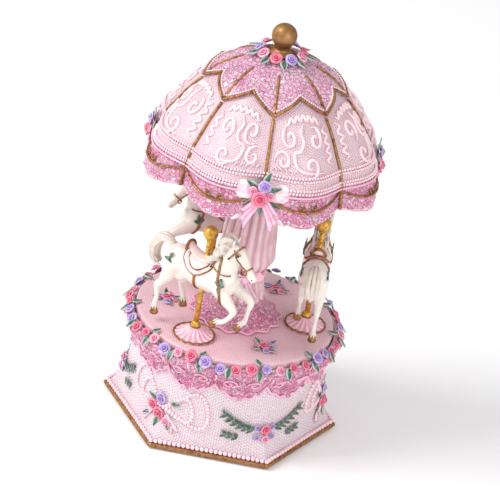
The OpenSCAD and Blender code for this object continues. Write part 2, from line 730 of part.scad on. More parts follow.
module column() {
    color(DECK) difference() {
        skin([for (s = column_stations) column_ring(s)]);
        translate([0, 0, column_z - 1]) cylinder(h = column_top_z - column_z + 2, r = rod_hole_r);
    }
}

ribbon_turn = canopy_turn + 6;
module column_ribbon() {
    tie_gap = tie_share * (column_top_z - column_z);
    tie_z = column_z + tie_gap;
    tail_len = tie_gap * 0.82;
    color(LACE) {
        translate([0, 0, tie_z]) rotate_extrude() translate([tie_r + 0.02, 0])
            polygon([[0, -1.3], [0.7, -0.9], [0.7, 0.9], [0, 1.3]]);
        placed(tie_r + 1.6, ribbon_turn, tie_z) {
            rotate([90, 0, 0]) cylinder(h = 2.4, r = 1.5, center = true);
            for (side = [-1, 1]) {
                translate([side * 4, 0.5, 0.6]) rotate([90, 0, 0]) linear_extrude(1.5) difference() {
                    circle(r = 3);
                    circle(r = 1.5);
                }
                translate([side * 2.4, -0.4, -1.8 - tail_len / 2])
                    rotate([90, side * 14, 0]) leaf(tail_len, 2.6, 0.9);
            }
        }
    }
}

// ---------------------------------------------------------------- canopy

// Dome under a rib: share of the dome's height from its top, and share of the ribs' end radius
rib_end_r = canopy_r - 5.3;
bulge = canopy_r - rib_end_r;
dome_curve = [[0, 0.07], [0.04, 0.14], [0.1, 0.29], [0.18, 0.455], [0.32, 0.625], [0.45, 0.75],
              [0.58, 0.845], [0.69, 0.92], [0.78, 0.955], [0.9, 0.985], [1, 1]];
bulge_curve = [[0.06, 0], [0.2, 0.34], [0.45, 0.55], [0.78, 0.72], [1, 1]];
valance_share = 0.8;
crown_share = 0.04;
function rib_angle(k) = canopy_turn + k * 360 / panels;
function lobe(a) = (1 - cos(panels * (a - canopy_turn))) / 2;
// Point of the dome at a share of its height; shares beyond 1 hang in the valance
function dome_point(a, share, inset = 0) =
    let (s = min(share, 1), over = share - s,
         r = rib_end_r * along(dome_curve, s) + bulge * along(bulge_curve, s) * lobe(a) - inset)
    polar(r, a, dome_top - s * dome_h - over * valance_drop * lobe(a));
function dome_ring(share, inset = 0) =
    [for (a = [0:360 / (panels * 8):359.9]) dome_point(a, share, inset)];
inner_slope = 0.7;
function inner_ring(share) =
    let (drop = canopy_wall * (1 - min(share, 1)) * inner_slope)
    [for (p = dome_ring(share, canopy_wall * (0.35 + 0.65 * min(share, 1)))) p - [0, 0, drop]];

module canopy_shell() {
    shares = [0.78, 0.69, 0.58, 0.45, 0.32, 0.18, 0.1, 0.04];
    down = [0.04, 0.12, 0.25, 0.45, 0.6, 0.78];
    color(RESIN) union() {
        skin(concat([dome_ring(valance_share)], [for (s = shares) dome_ring(s)],
                    [for (s = down) inner_ring(s)], [inner_ring(valance_share)]), true);
        canopy_socket();
    }
}

// Boss inside the dome that stands on the column and carries the finial
module canopy_socket() {
    crown_r0 = rib_end_r * along(dome_curve, crown_share);
    crown_top = dome_top - crown_share * dome_h;
    rotate_extrude() polygon([[rod_hole_r, column_top_z], [column_r * 0.9, column_top_z],
        [crown_r0, crown_top - 5], [crown_r0 - 0.3, crown_top], [rod_hole_r, crown_top]]);
}

module canopy_valance() {
    color(LACE) skin(concat([for (s = [2, 1.5, 1, 0.9, valance_share]) dome_ring(s)],
                            [for (s = [valance_share, 1, 2]) inner_ring(s)]), true);
}

module canopy_ribs() {
    lift = rib_r + 0.1;
    color(GOLD) for (k = [0:panels - 1])
        tube([for (s = [star_tip + 0.01, 0.45, 0.58, 0.69, 0.8, 0.9, 1])
            dome_point(rib_angle(k), s, -lift) + [0, 0, lift * (1 - s)]], rib_r);
}

module canopy_beads() {
    color(PEARL) for (s = [0.7, 0.79])
        tube([for (a = [0:360 / (panels * 8):359.9]) dome_point(a, s, -bead_r * 0.9)], bead_r * 0.8, 5, true);
}

star_tip = 0.33;
star_valley = 0.2;
cap_t = 0.7;
cap_gap = 0.3;
cap_inner = 0.05;
// Distance from the nearest rib: 0 on a rib, 1 half-way between two
function off_rib(a) = let (u = ((a - canopy_turn + 720) * panels / 180) % 2) min(u, 2 - u);
// Point of the cap: t is 0 at its inner edge and 1 on the star's outline
function cap_point(a, t, lift) =
    dome_point(a, cap_inner + t * (star_tip - (star_tip - star_valley) * off_rib(a) - cap_inner), -lift * 0.5)
    + [0, 0, lift];

module star_cap() {
    steps = [1, 0.8, 0.6, 0.4, 0.2, 0];
    function cap_ring(t, lift) = [for (a = [0:360 / (panels * 8):359.9]) cap_point(a + canopy_turn, t, lift)];
    color(LACE) skin(concat([for (t = steps) cap_ring(t, cap_gap + cap_t)],
                            [for (i = [len(steps) - 1:-1:0]) cap_ring(steps[i], cap_gap)]), true);
}

// Gilded cord along the star's outline and up its ribs
module star_trim() {
    lift = cap_gap + cap_t + 0.75 * rib_r;
    color(GOLD) {
        tube([for (a = [0:360 / (panels * 8):359.9]) cap_point(a + canopy_turn, 0.98, lift)], rib_r, 6, true);
        for (k = [0:panels - 1])
            tube([for (t = [0.25, 0.4, 0.6, 0.8, 0.96]) cap_point(rib_angle(k), t, lift)], rib_r);
    }
}

bow_share = 0.86;
// Places a trim in front of a rib, over the valance
module on_rib(k, out) {
    p = dome_point(rib_angle(k), bow_share);
    placed(norm([p[0], p[1]]) + out, rib_angle(k), p[2]) children();
}

module canopy_bows() {
    color(PEARL) for (k = [0:2:panels - 1])
        on_rib(k, 2.4) {
            for (side = [-1, 1]) {
                translate([side * 4.6, 0.4, 0.6]) rotate([90, side * -14, 0]) rotate_extrude($fn = 24)
                    translate([2.6, 0]) circle(r = 1.1, $fn = 16);
                translate([side * 3.4, 0.6, -6]) rotate([90, side * 28, 0]) leaf(10, 4, 1.2);
            }
        }
}

module canopy_roses() {
    color(ROSE) for (k = [0:2:panels - 1])
        on_rib(k, 3)
            for (q = [[0, 4.4], [-2.3, 0.2], [2.3, 0.4]])
                translate([q[0], 0, q[1]]) sphere(r = 2.1, $fn = 24);
}

module canopy_leaves() {
    color(LEAF) for (k = [0:2:panels - 1])
        on_rib(k, 2)
            for (q = [[-3.8, 5, 40], [3.8, 4, -50], [0.4, -3.6, 180]])
                translate([q[0], 0, q[1]]) rotate([90, q[2], 0]) leaf(4, 2.4, 0.9);
}

crown_rose_r = 2.1;
crown_ring_r = finial_collar_r + crown_rose_r + 0.4;
// Height of the star cap's top over the dome at a radius
function cap_z(r) =
    dome_top - dome_h * along([for (p = dome_curve) [p[1], p[0]]], r / rib_end_r) + cap_gap + cap_t;
module crown_roses() {
    color(ROSE) for (i = [0:8])
        translate(polar(crown_ring_r, i * 40 + 20, cap_z(crown_ring_r) + 0.7 * crown_rose_r))
            sphere(r = crown_rose_r, $fn = 24);
    color(LEAF) for (i = [0:8])
        placed(crown_ring_r + 2.6, i * 40, cap_z(crown_ring_r + 2.6)) rotate([22, 0, 0]) leaf(4, 2.4, 0.9);
}

finial_z = dome_top - crown_share * dome_h;
finial_bore = 4;
finial_neck_h = 3.4;
module finial() {
    neck_r = finial_ball_r * 0.62;
    ball_z = finial_z + finial_neck_h + finial_ball_r;
    color(GOLD) difference() {
        union() {
            translate([0, 0, finial_z]) rotate_extrude()
                polygon([[0, 0], [finial_collar_r - 0.6, 0], [finial_collar_r, 0.7],
                         [finial_collar_r - 0.7, 1.3], [finial_collar_r - 1.3, 1.9], [neck_r + 0.5, 2.6],
                         [neck_r, finial_neck_h + 1], [0, finial_neck_h + 1]]);
            translate([0, 0, ball_z]) sphere(r = finial_ball_r);
        }
        translate([0, 0, finial_z - 1]) cylinder(h = finial_bore + 1, r = rod_r);
    }
}

felt_pads();
foot_plate();
foot_plate_screws();
base_shell();
base_top();
foot_beads();
rim_roses();
rim_leaves();
body_bows();
body_garlands();
mount_plate();
mount_plate_screws();
movement_screws();
bedplate();
spring_barrel();
mainspring();
comb();
comb_screws();
cylinder_brackets();
governor_bracket();
bearing_bush();
turntable();
turntable_hub();
hub_screws();
output_shaft();
great_wheel();
tie_rod();
deck_posies();
pedestal(0);  // pedestal_1
pedestal(1);  // pedestal_2
pedestal(2);  // pedestal_3
pole(0);  // pole_1
pole(1);  // pole_2
pole(2);  // pole_3
horse(0);  // horse_1
horse(1);  // horse_2
horse(2);  // horse_3
column_foot();
column();
column_ribbon();
canopy_shell();
canopy_valance();
canopy_ribs();
canopy_beads();
star_cap();
star_trim();
canopy_bows();
canopy_roses();
canopy_leaves();
crown_roses();
finial();
winding_key();
cylinder_();  // cylinder
cylinder_pins();
crown_gear();
idler();
governor_worm();
governor_fan();
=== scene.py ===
import math
import random
import bpy
import numpy as np
from mathutils import Matrix, Vector
from mathutils.bvhtree import BVHTree


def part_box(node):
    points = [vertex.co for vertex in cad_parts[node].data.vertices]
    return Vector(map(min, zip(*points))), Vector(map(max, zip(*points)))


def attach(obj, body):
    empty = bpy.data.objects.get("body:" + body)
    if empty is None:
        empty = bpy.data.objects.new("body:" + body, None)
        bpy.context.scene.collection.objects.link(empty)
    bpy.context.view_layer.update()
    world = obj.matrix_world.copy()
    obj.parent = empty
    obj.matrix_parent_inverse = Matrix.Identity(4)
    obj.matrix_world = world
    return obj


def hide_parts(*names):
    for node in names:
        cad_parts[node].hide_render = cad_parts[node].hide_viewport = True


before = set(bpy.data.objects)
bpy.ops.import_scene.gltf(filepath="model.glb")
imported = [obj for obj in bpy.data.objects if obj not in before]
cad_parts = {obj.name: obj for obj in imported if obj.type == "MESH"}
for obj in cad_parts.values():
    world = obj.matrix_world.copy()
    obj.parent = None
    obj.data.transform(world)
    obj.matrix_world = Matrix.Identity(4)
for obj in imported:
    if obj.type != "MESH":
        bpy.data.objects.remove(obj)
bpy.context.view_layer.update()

# Lengths below are in millimetres and are turned into metres when a mesh is made. Angles
# named "a" start at -Y and grow towards +X, as round a clock seen from below.
MM = 0.001
rng = random.Random(7)


def low(node):
    return np.array(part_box(node)[0]) / MM


def high(node):
    return np.array(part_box(node)[1]) / MM


def middle(node):
    return (low(node) + high(node)) / 2


# ------------------------------------------------------------------ sizes from the frame
DECK_TOP = high("turntable")[2]
DECK_R = high("turntable")[0]
SHELL_Z = high("foot_plate")[2]
RIM_Z = high("base_shell")[2]
FOOT_R = high("foot_plate")[1]
BODY_R = DECK_R - 1.4
SIDE_WALL = 3.2
FOOT_LEDGE = 4
FOOT_INSET = 2
FLARE_FALL = 9
DECK_GAP = 0.5
RIM_STEP = 1.3
RIM_R = DECK_R + 2.6
DOME_H = 50
DOME_TOP = low("finial")[2] + 0.04 * DOME_H
CANOPY_R = 50.4
RIB_END_R = CANOPY_R - 5.3
PANELS = 8
CANOPY_TURN = 34
VALANCE_DROP = 4
VALANCE_TOP = 0.8
WALL = 2.2
PANEL_BULGE = 4.9
COLUMN_Z = low("column")[2]
COLUMN_TOP = high("column")[2]
COLUMN_R = 11.4
WAIST_SHARE = 0.17
WAIST_R = COLUMN_R * 0.78
COLUMN_FOOT_R = high("column_foot")[0]
POLE_RING_R = -middle("pole_1")[1]
BALL_R = (high("pole_1") - low("pole_1"))[0] / 2
BALL_Z = high("pole_1")[2] - BALL_R
PEDESTAL_R = (high("pedestal_1") - low("pedestal_1"))[0] / 2
PEDESTAL_H = (high("pedestal_1") - low("pedestal_1"))[2]
BOW_ANGLES = (0, 120, 240)
GARLAND_ANGLES = (60, 180, 300)


# ------------------------------------------------------------------ small geometry helpers
def polar(r, a, z=0.0):
    """Points at radius r, angle a in degrees and height z."""
    r, a, z = np.broadcast_arrays(np.asarray(r, float), np.radians(a), np.asarray(z, float))
    return np.stack([r * np.sin(a), -r * np.cos(a), z], -1)


def unit(v):
    return v / np.maximum(np.linalg.norm(v, axis=-1, keepdims=True), 1e-9)


def smooth_through(pairs):
    """A smooth function through sorted pairs (x, value)."""
    x, y = np.array(pairs, float).T
    slope = np.gradient(y, x)

    def value(t):
        t = np.clip(t, x[0], x[-1])
        i = np.clip(np.searchsorted(x, t, side="right") - 1, 0, len(x) - 2)
        h = x[i + 1] - x[i]
        s = (t - x[i]) / h
        return (y[i] * (1 + 2 * s) * (1 - s) ** 2 + slope[i] * h * s * (1 - s) ** 2
                + y[i + 1] * s * s * (3 - 2 * s) + slope[i + 1] * h * s * s * (s - 1))
    return value


def eased(t):
    t = np.clip(t, 0, 1)
    return t * t * (3 - 2 * t)


def ripple(u, v, size, seed):
    """Soft random hills about "size" across, from -1 to 1, over the plane (u, v)."""
    source = random.Random(seed)
    total = 0
    for _ in range(7):
        turn = source.uniform(0, 2 * math.pi)
        wave = 2 * math.pi / (size * source.uniform(1.4, 2.8))
        total = total + np.sin(wave * (u * math.cos(turn) + v * math.sin(turn)) + source.uniform(0, 6.3))
    return total / 3.5


def spline(points, count):
    """Catmull-Rom curve of "count" points through stations of any width."""
    p = np.array(points, float)
    p = np.vstack([2 * p[0] - p[1], p, 2 * p[-1] - p[-2]])
    t = np.linspace(0, len(p) - 3 - 1e-6, count)
    i = t.astype(int)
    s = (t - i)[:, None]
    a, b, c, d = p[i], p[i + 1], p[i + 2], p[i + 3]
    return 0.5 * (2 * b + (c - a) * s + (2 * a - 5 * b + 4 * c - d) * s**2 + (3 * b - a - 3 * c + d) * s**3)


def axes_for(out, lean=0.0):
    """Two directions at right angles to "out", turned by lean degrees about it."""
    out = unit(np.asarray(out, float))
    helper = np.array([0, 0, 1.0]) if abs(out[2]) < 0.9 else np.array([1.0, 0, 0])
    right = unit(np.cross(helper, out))
    up = np.cross(out, right)
    c, s = math.cos(math.radians(lean)), math.sin(math.radians(lean))
    return right * c + up * s, up * c - right * s


def unit_ball(rings=6, sides=9):
    """Points and faces of a ball of radius 1."""
    points = [[0, 0, 1]]
    for i in range(1, rings):
        p = math.pi * i / rings
        points += [[math.sin(p) * math.cos(2 * math.pi * j / sides),
                    math.sin(p) * math.sin(2 * math.pi * j / sides), math.cos(p)] for j in range(sides)]
    points.append([0, 0, -1])
    faces = [[0, 1 + j, 1 + (j + 1) % sides] for j in range(sides)]
    for i in range(rings - 2):
        a = 1 + i * sides
        faces += [[a + j, a + sides + j, a + sides + (j + 1) % sides, a + (j + 1) % sides]
                  for j in range(sides)]
    last = len(points) - 1
    a = last - sides
    faces += [[last, a + (j + 1) % sides, a + j] for j in range(sides)]
    return np.array(points, float), faces


BALL = unit_ball()
FINE_BALL = unit_ball(16, 24)


class Shape:
    """Collects closed pieces of mesh, each face with a material number and a flow map."""

    def __init__(self):
        self.points, self.faces, self.parts, self.flow, self.tints = [], [], [], [], []
        self.count = 0

    def add(self, points, faces, part=0, tint=0.0, flow=None):
        points = np.asarray(points, float).reshape(-1, 3)
        self.points.append(points)
        self.tints.append(np.broadcast_to(np.asarray(tint, float), len(points)))
        self.faces += [[k + self.count for k in face] for face in faces]
        self.parts += [part] * len(faces)
        self.flow += flow if flow is not None else [(0.0, 0.0)] * sum(map(len, faces))
        self.count += len(points)

    def grid(self, points, part=0, tint=0.0, loop=False, caps=False, flow=None):
        """Rows of points, each row closed on itself. "loop" joins the first and last row, and
        "caps" closes both ends. flow gives the map's value per column, with one more at the
        end, and per row."""
        rows, cols = points.shape[:2]
        faces, uv = [], []
        for i in range(rows if loop else rows - 1):
            for j in range(cols):
                k, m = (i + 1) % rows, (j + 1) % cols
                faces.append([i * cols + j, i * cols + m, k * cols + m, k * cols + j])
                if flow is not None:
                    u, v = flow
                    uv += [(u[j], v[i]), (u[j + 1], v[i]), (u[j + 1], v[k]), (u[j], v[k])]
        if caps:
            faces.append(list(range(cols))[::-1])
            faces.append([(rows - 1) * cols + j for j in range(cols)])
            if flow is not None:
                uv += [(0.0, 0.0)] * 2 * cols
        if np.ndim(tint):
            tint = np.broadcast_to(tint, (rows, cols)).reshape(-1)
        self.add(points, faces, part, tint, uv if flow is not None else None)

    def slab(self, points, thick, part=0, tint=0.0):
        """A thin closed plate over an open grid of points."""
        du = np.gradient(points, axis=0)
        dv = np.gradient(points, axis=1)
        normal = unit(np.cross(du, dv))
        rings = np.concatenate([points + normal * thick / 2, (points - normal * thick / 2)[:, ::-1]], axis=1)
        if np.ndim(tint):
            tint = np.broadcast_to(tint, points.shape[:2])
            tint = np.concatenate([tint, tint[:, ::-1]], axis=1)
        self.grid(rings, part, tint, caps=True)

    def tube(self, path, radius, sides=8, part=0, tint=0.0, closed=False, flat=1.0):
        """A rod along a path; "flat" squashes it."""
        path = np.asarray(path, float)
        n = len(path)
        radius = np.broadcast_to(np.asarray(radius, float), n)
        if closed:
            along = np.roll(path, -1, 0) - np.roll(path, 1, 0)
        else:
            along = np.gradient(path, axis=0)
        along = unit(along)
        first, _ = axes_for(along[0])
        side = np.zeros_like(path)
        side[0] = first
        for i in range(1, n):
            s = side[i - 1] - np.dot(side[i - 1], along[i]) * along[i]
            side[i] = unit(s)
        rise = np.cross(along, side)
        t = np.arange(sides) * 2 * math.pi / sides
        rings = (path[:, None] + radius[:, None, None]
                 * (np.cos(t)[None, :, None] * side[:, None]
                    + flat * np.sin(t)[None, :, None] * rise[:, None]))
        self.grid(rings, part, tint, loop=closed, caps=not closed)

    def ball(self, centre, radius, part=0, tint=0.0, fine=False, stretch=None):
        points, faces = FINE_BALL if fine else BALL
        points = points * radius
        if stretch is not None:
            points = points @ np.asarray(stretch)
        self.add(points + np.asarray(centre, float), faces, part, tint)


def make(name, shape, looks, body, stands_for=()):
    """A Blender object from a Shape, riding on a body."""
    mesh = bpy.data.meshes.new(name)
    points = np.concatenate(shape.points) * MM
    mesh.from_pydata(points.tolist(), [], shape.faces)
    for look in looks:
        mesh.materials.append(look)
    mesh.polygons.foreach_set("material_index", shape.parts)
    mesh.polygons.foreach_set("use_smooth", [True] * len(shape.faces))
    layer = mesh.uv_layers.new(name="flow")
    layer.data.foreach_set("uv", np.array(shape.flow, float).reshape(-1))
    tint = mesh.attributes.new("tint", "FLOAT", "POINT")
    tint.data.foreach_set("value", np.concatenate(shape.tints))
    mesh.update()
    obj = bpy.data.objects.new(name, mesh)
    bpy.context.scene.collection.objects.link(obj)
    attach(obj, body)
    if stands_for:
        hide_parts(*stands_for)
    return obj


# ------------------------------------------------------------------ materials
class Look:
    """A procedural material, built up node by node."""

    def __init__(self, name, **sockets):
        self.material = bpy.data.materials.new(name)
        self.material.use_nodes = True
        self.tree = self.material.node_tree
        self.shader = self.tree.nodes["Principled BSDF"]
        for socket, value in sockets.items():
            self.shader.inputs[socket.replace("_", " ")].default_value = value
        self.place = self.tree.nodes.new("ShaderNodeTexCoord").outputs["Object"]
        self.normal = None

    def node(self, kind, settings=(), **inputs):
        made = self.tree.nodes.new(kind)
        for key, value in settings:
            setattr(made, key, value)
        for key, value in inputs.items():
            socket = made.inputs[int(key[1:])] if key[0] == "i" and key[1:].isdigit() else made.inputs[key]
            if hasattr(value, "links"):
                self.tree.links.new(value, socket)
            else:
                socket.default_value = value
        return made

    def noise(self, size, detail=3.0, rough=0.5):
        """Noise with features about "size" millimetres across."""
        made = self.node("ShaderNodeTexNoise", Vector=self.place,
                         Scale=1 / (size * MM), Detail=detail, Roughness=rough)
        return made.outputs["Fac"]

    def cells(self, size, feature="F1", place=None):
        made = self.node("ShaderNodeTexVoronoi", [("feature", feature)],
                         Vector=place or self.place, Scale=1 / (size * MM))
        return made.outputs["Distance"]

    def sum(self, kind, a, b=0.0):
        return self.node("ShaderNodeMath", [("operation", kind)], i0=a, i1=b).outputs[0]

    def ramp(self, value, low_end, high_end):
        made = self.node("ShaderNodeMapRange", Value=value)
        made.inputs["From Min"].default_value = low_end
        made.inputs["From Max"].default_value = high_end
        return made.outputs["Result"]

    def mix(self, share, a, b):
        made = self.node("ShaderNodeMix", [("data_type", "RGBA")], i0=share)
        for index, value in ((6, a), (7, b)):
            if hasattr(value, "links"):
                self.tree.links.new(value, made.inputs[index])
            else:
                made.inputs[index].default_value = (*value, 1)
        return made.outputs[2]

    def tint(self):
        return self.node("ShaderNodeAttribute", [("attribute_name", "tint")]).outputs["Fac"]

    def weave(self, pitch_u, pitch_v):
        """Height of a net laid on the flow map: threads cross as diamonds."""
        flow = self.node("ShaderNodeUVMap", [("uv_map", "flow")]).outputs["UV"]
        parts = self.node("ShaderNodeSeparateXYZ", Vector=flow).outputs
        u = self.sum("MULTIPLY", parts[0], math.pi / pitch_u)
        v = self.sum("MULTIPLY", parts[1], math.pi / pitch_v)
        rising = self.sum("ABSOLUTE", self.sum("SINE", self.sum("ADD", u, v)))
        falling = self.sum("ABSOLUTE", self.sum("SINE", self.sum("SUBTRACT", u, v)))
        return self.sum("MULTIPLY", rising, falling)

    def bump(self, height, depth, strength=1.0):
        """Relief of "depth" millimetres from a height between 0 and 1."""
        made = self.node("ShaderNodeBump", Height=height, Distance=depth * MM, Strength=strength)
        if self.normal is not None:
            self.tree.links.new(self.normal, made.inputs["Normal"])
        self.normal = made.outputs["Normal"]

    def done(self, colour, rough=None):
        links = self.tree.links
        if hasattr(colour, "links"):
            links.new(colour, self.shader.inputs["Base Color"])
        else:
            self.shader.inputs["Base Color"].default_value = (*colour, 1)
        if rough is not None:
            links.new(rough, self.shader.inputs["Roughness"])
        if self.normal is not None:
            links.new(self.normal, self.shader.inputs["Normal"])
        return self.material


def net_resin(name, pale, deep, pitch, coat):
    """Pearly painted resin cast over net: pale threads, deeper colour between them."""
    look = Look(name, Coat_Weight=coat, Coat_Roughness=0.25, Specular_IOR_Level=0.45)
    net = look.weave(pitch, pitch * 0.7)
    patches = look.ramp(look.noise(16, 3), 0.35, 0.7)
    colour = look.mix(patches, pale, tuple(0.5 * (p + d) for p, d in zip(pale, deep)))
    colour = look.mix(look.ramp(net, 0.1, 0.55), colour, look.mix(patches, deep, colour))
    look.bump(look.ramp(net, 0.5, 0.04), 0.35, 1.0)
    look.bump(look.noise(0.5, 2), 0.06, 0.6)
    return look.done(colour, look.sum("MULTIPLY_ADD", look.noise(3), 0.25))


def lace_resin(name, pale, middle_tone, deep):
    """Glittery cast lace over strong pink: bright flecks, and painted highlights on the raised tops."""
    look = Look(name, Coat_Weight=0.35, Coat_Roughness=0.2)
    warped = look.node("ShaderNodeTexNoise", Vector=look.place, Scale=1 / (2.2 * MM),
                       Detail=2.0).outputs["Color"]
    bent = look.node("ShaderNodeVectorMath", [("operation", "MULTIPLY_ADD")], i0=warped,
                     i1=(1.6 * MM,) * 3, i2=look.place).outputs[0]
    tangle = look.cells(1.9, "DISTANCE_TO_EDGE", bent)
    highlit_tops = look.noise(1.3, 5, 0.6)
    broad = look.ramp(look.noise(7, 2), 0.35, 0.65)
    colour = look.mix(broad, deep, middle_tone)
    # painted highlight: the pale colour is laid on the raised tops of the relief
    colour = look.mix(look.ramp(highlit_tops, 0.54, 0.68), colour, pale)
    colour = look.mix(look.ramp(tangle, 0.07, 0.01), colour, pale)
    look.bump(look.ramp(tangle, 0.14, 0.0), 0.7, 1.0)
    look.bump(highlit_tops, 0.6, 1.0)
    return look.done(colour, look.ramp(highlit_tops, 0.2, 0.9))


def painted(name, colour, second, size=1.5, coat=0.3, rough=0.4, blend=0.5):
    """Brushed-on paint: the second colour gathers in patches and on tinted points."""
    look = Look(name, Coat_Weight=coat, Coat_Roughness=0.2, Roughness=rough)
    patches = look.ramp(look.noise(size, 4), 0.42, 0.68)
    mixed = look.mix(look.sum("MULTIPLY", patches, blend), colour, second)
    mixed = look.mix(look.tint(), mixed, second)
    look.bump(look.noise(size * 0.4, 3), 0.05, 0.7)
    return look.done(mixed)


def pearl_paint(name, pale, shade, size, coat=0.6, depth=0.05):
    """Smooth pearl lacquer with a soft cloudy change of colour."""
    look = Look(name, Coat_Weight=coat, Coat_Roughness=0.12, Roughness=0.32, Subsurface_Weight=0.08,
                Subsurface_Scale=0.002)
    cloud = look.ramp(look.noise(size, 3), 0.38, 0.72)
    colour = look.mix(look.sum("MULTIPLY", cloud, 0.6), pale, shade)
    # tinted points take the second colour; on the curtain and the fan pedestals this is painted shade in
    # pleats and flutes
    colour = look.mix(look.tint(), colour, shade)
    look.bump(look.noise(size * 0.25, 3), depth, 0.6)
    return look.done(colour)


def gilt(name, bright, dark, size, depth=0.1):
    """Gold with darker wear in its hollows."""
    look = Look(name, Metallic=1.0)
    stain = look.ramp(look.noise(size, 5, 0.6), 0.45, 0.7)
    colour = look.mix(look.sum("MULTIPLY", stain, 0.8), bright, dark)
    look.bump(look.noise(size * 0.5, 4), depth, 0.8)
    return look.done(colour, look.sum("MULTIPLY_ADD", stain, 0.3))


def metal(name, colour):
    """Turned or rolled metal with fine uneven brushing."""
    look = Look(name, Metallic=1.0)
    fine = look.noise(0.3, 4, 0.7)
    look.bump(fine, 0.02, 0.5)
    tone = look.mix(look.ramp(look.noise(4, 3), 0.3, 0.8), colour, tuple(c * 0.8 for c in colour))
    return look.done(tone, look.ramp(fine, -1.5, 2.5))


NET_BODY = net_resin("net_body", (0.98, 0.92, 0.94), (0.80, 0.54, 0.63), 2.0, 0.5)
NET_DOME = net_resin("net_dome", (0.96, 0.82, 0.87), (0.84, 0.48, 0.58), 1.8, 0.35)
LACE = lace_resin("lace_glitter", (0.98, 0.84, 0.91), (0.88, 0.32, 0.52), (0.76, 0.13, 0.34))
STAR = lace_resin("star_magenta", (0.97, 0.80, 0.88), (0.90, 0.50, 0.66), (0.80, 0.24, 0.46))
HEM = pearl_paint("hem_pink", (0.94, 0.50, 0.64), (0.88, 0.34, 0.52), 4, 0.4, 0.12)
ICING = pearl_paint("icing_pink", (0.96, 0.74, 0.77), (0.90, 0.52, 0.58), 3, 0.5)
PEARL = pearl_paint("pearl_bead", (0.95, 0.72, 0.77), (0.88, 0.50, 0.60), 2, 0.7, 0.02)
ROSE = painted("rose_pink", (0.90, 0.30, 0.42), (0.62, 0.03, 0.12), 2.2)
ROSE_PALE = painted("rose_pale", (0.92, 0.52, 0.62), (0.72, 0.10, 0.28), 2.2)
LAVENDER = painted("rose_lavender", (0.64, 0.50, 0.82), (0.28, 0.14, 0.50), 2.0)
LEAF = painted("leaf_green", (0.012, 0.05, 0.022), (0.50, 0.62, 0.55), 1.2, blend=0.35)
BRONZE = gilt("antique_gold", (0.45, 0.23, 0.10), (0.12, 0.045, 0.02), 1.5)
GOLD = gilt("bright_gold", (0.83, 0.52, 0.12), (0.30, 0.13, 0.02), 1.2)
BALL_GOLD = gilt("satin_gold", (0.42, 0.23, 0.10), (0.26, 0.12, 0.05), 6, 0.03)
HORSE = pearl_paint("horse_cream", (0.86, 0.80, 0.73), (0.70, 0.56, 0.50), 7, 0.9)
MANE = pearl_paint("mane_cream", (0.84, 0.77, 0.69), (0.62, 0.50, 0.42), 3, 0.7)
SADDLE = painted("saddle_blush", (0.82, 0.62, 0.60), (0.88, 0.74, 0.70), 3)
CAST = painted("cast_resin", (0.86, 0.62, 0.68), (0.92, 0.76, 0.80), 5)
EYE = painted("eye_black", (0.01, 0.01, 0.012), (0.03, 0.03, 0.04), 1, 0.8, 0.15)
CURTAIN = pearl_paint("curtain_pink", (0.92, 0.70, 0.74), (0.66, 0.34, 0.40), 6, 0.6, 0.08)
RIBBON = pearl_paint("ribbon_pink", (0.94, 0.48, 0.64), (0.97, 0.72, 0.80), 3, 0.6)
BOW = pearl_paint("bow_white_pink", (0.98, 0.90, 0.93), (0.86, 0.24, 0.46), 2.0, 0.5)
FAN = pearl_paint("fan_pink", (0.95, 0.76, 0.80), (0.78, 0.30, 0.42), 3, 0.5)
BRASS = metal("brass", (0.80, 0.58, 0.25))
STEEL = metal("steel", (0.62, 0.63, 0.66))
BLUED = metal("spring_blue", (0.10, 0.13, 0.24))


def deck_material():
    look = Look("deck_weave", Coat_Weight=0.2, Coat_Roughness=0.3)
    parts = look.node("ShaderNodeSeparateXYZ", Vector=look.place).outputs
    u = look.sum("SINE", look.sum("MULTIPLY", parts[0], math.pi / (0.75 * MM)))
    v = look.sum("SINE", look.sum("MULTIPLY", parts[1], math.pi / (0.75 * MM)))
    weave = look.sum("MULTIPLY_ADD", look.sum("MULTIPLY", u, v), 0.5)
    colour = look.mix(look.ramp(look.noise(14, 3), 0.35, 0.7), (0.66, 0.36, 0.42), (0.76, 0.46, 0.52))
    colour = look.mix(look.ramp(weave, -0.2, 1.4), colour, (0.88, 0.64, 0.69))
    look.bump(weave, 0.16, 0.8)
    return look.done(colour, look.ramp(look.noise(2), -0.4, 1.6))


def felt_material():
    look = Look("felt", Roughness=0.95, Sheen_Weight=0.4)
    fibre = look.noise(0.25, 5, 0.8)
    look.bump(fibre, 0.25, 0.9)
    return look.done(look.mix(fibre, (0.10, 0.05, 0.07), (0.26, 0.16, 0.2)))


def moulded_material():
    look = Look("moulded_white", Roughness=0.45)
    grain = look.noise(0.4, 3)
    look.bump(grain, 0.05, 0.5)
    return look.done(look.mix(look.ramp(look.noise(9), 0.3, 0.7), (0.86, 0.84, 0.85), (0.80, 0.77, 0.78)))


DECK = deck_material()
FELT = felt_material()
MOULDED = moulded_material()


# ------------------------------------------------------------------ surfaces of the model
def placed(points, r, a, z):
    """Points given as forward, inward and up, moved to radius r at angle a."""
    p = np.asarray(points, float)
    c, s = math.cos(math.radians(a)), math.sin(math.radians(a))
    turned = np.stack([c * p[..., 0] - s * p[..., 1], s * p[..., 0] + c * p[..., 1], p[..., 2]], -1)
    return turned + polar(r, a, z)


def local_axes(r, a, z):
    """Functions that turn forward, inward and up into a place near (r, a, z) and a direction."""
    return (lambda *xyz: placed(xyz, r, a, z)), (lambda *xyz: placed(xyz, 0, a, 0))


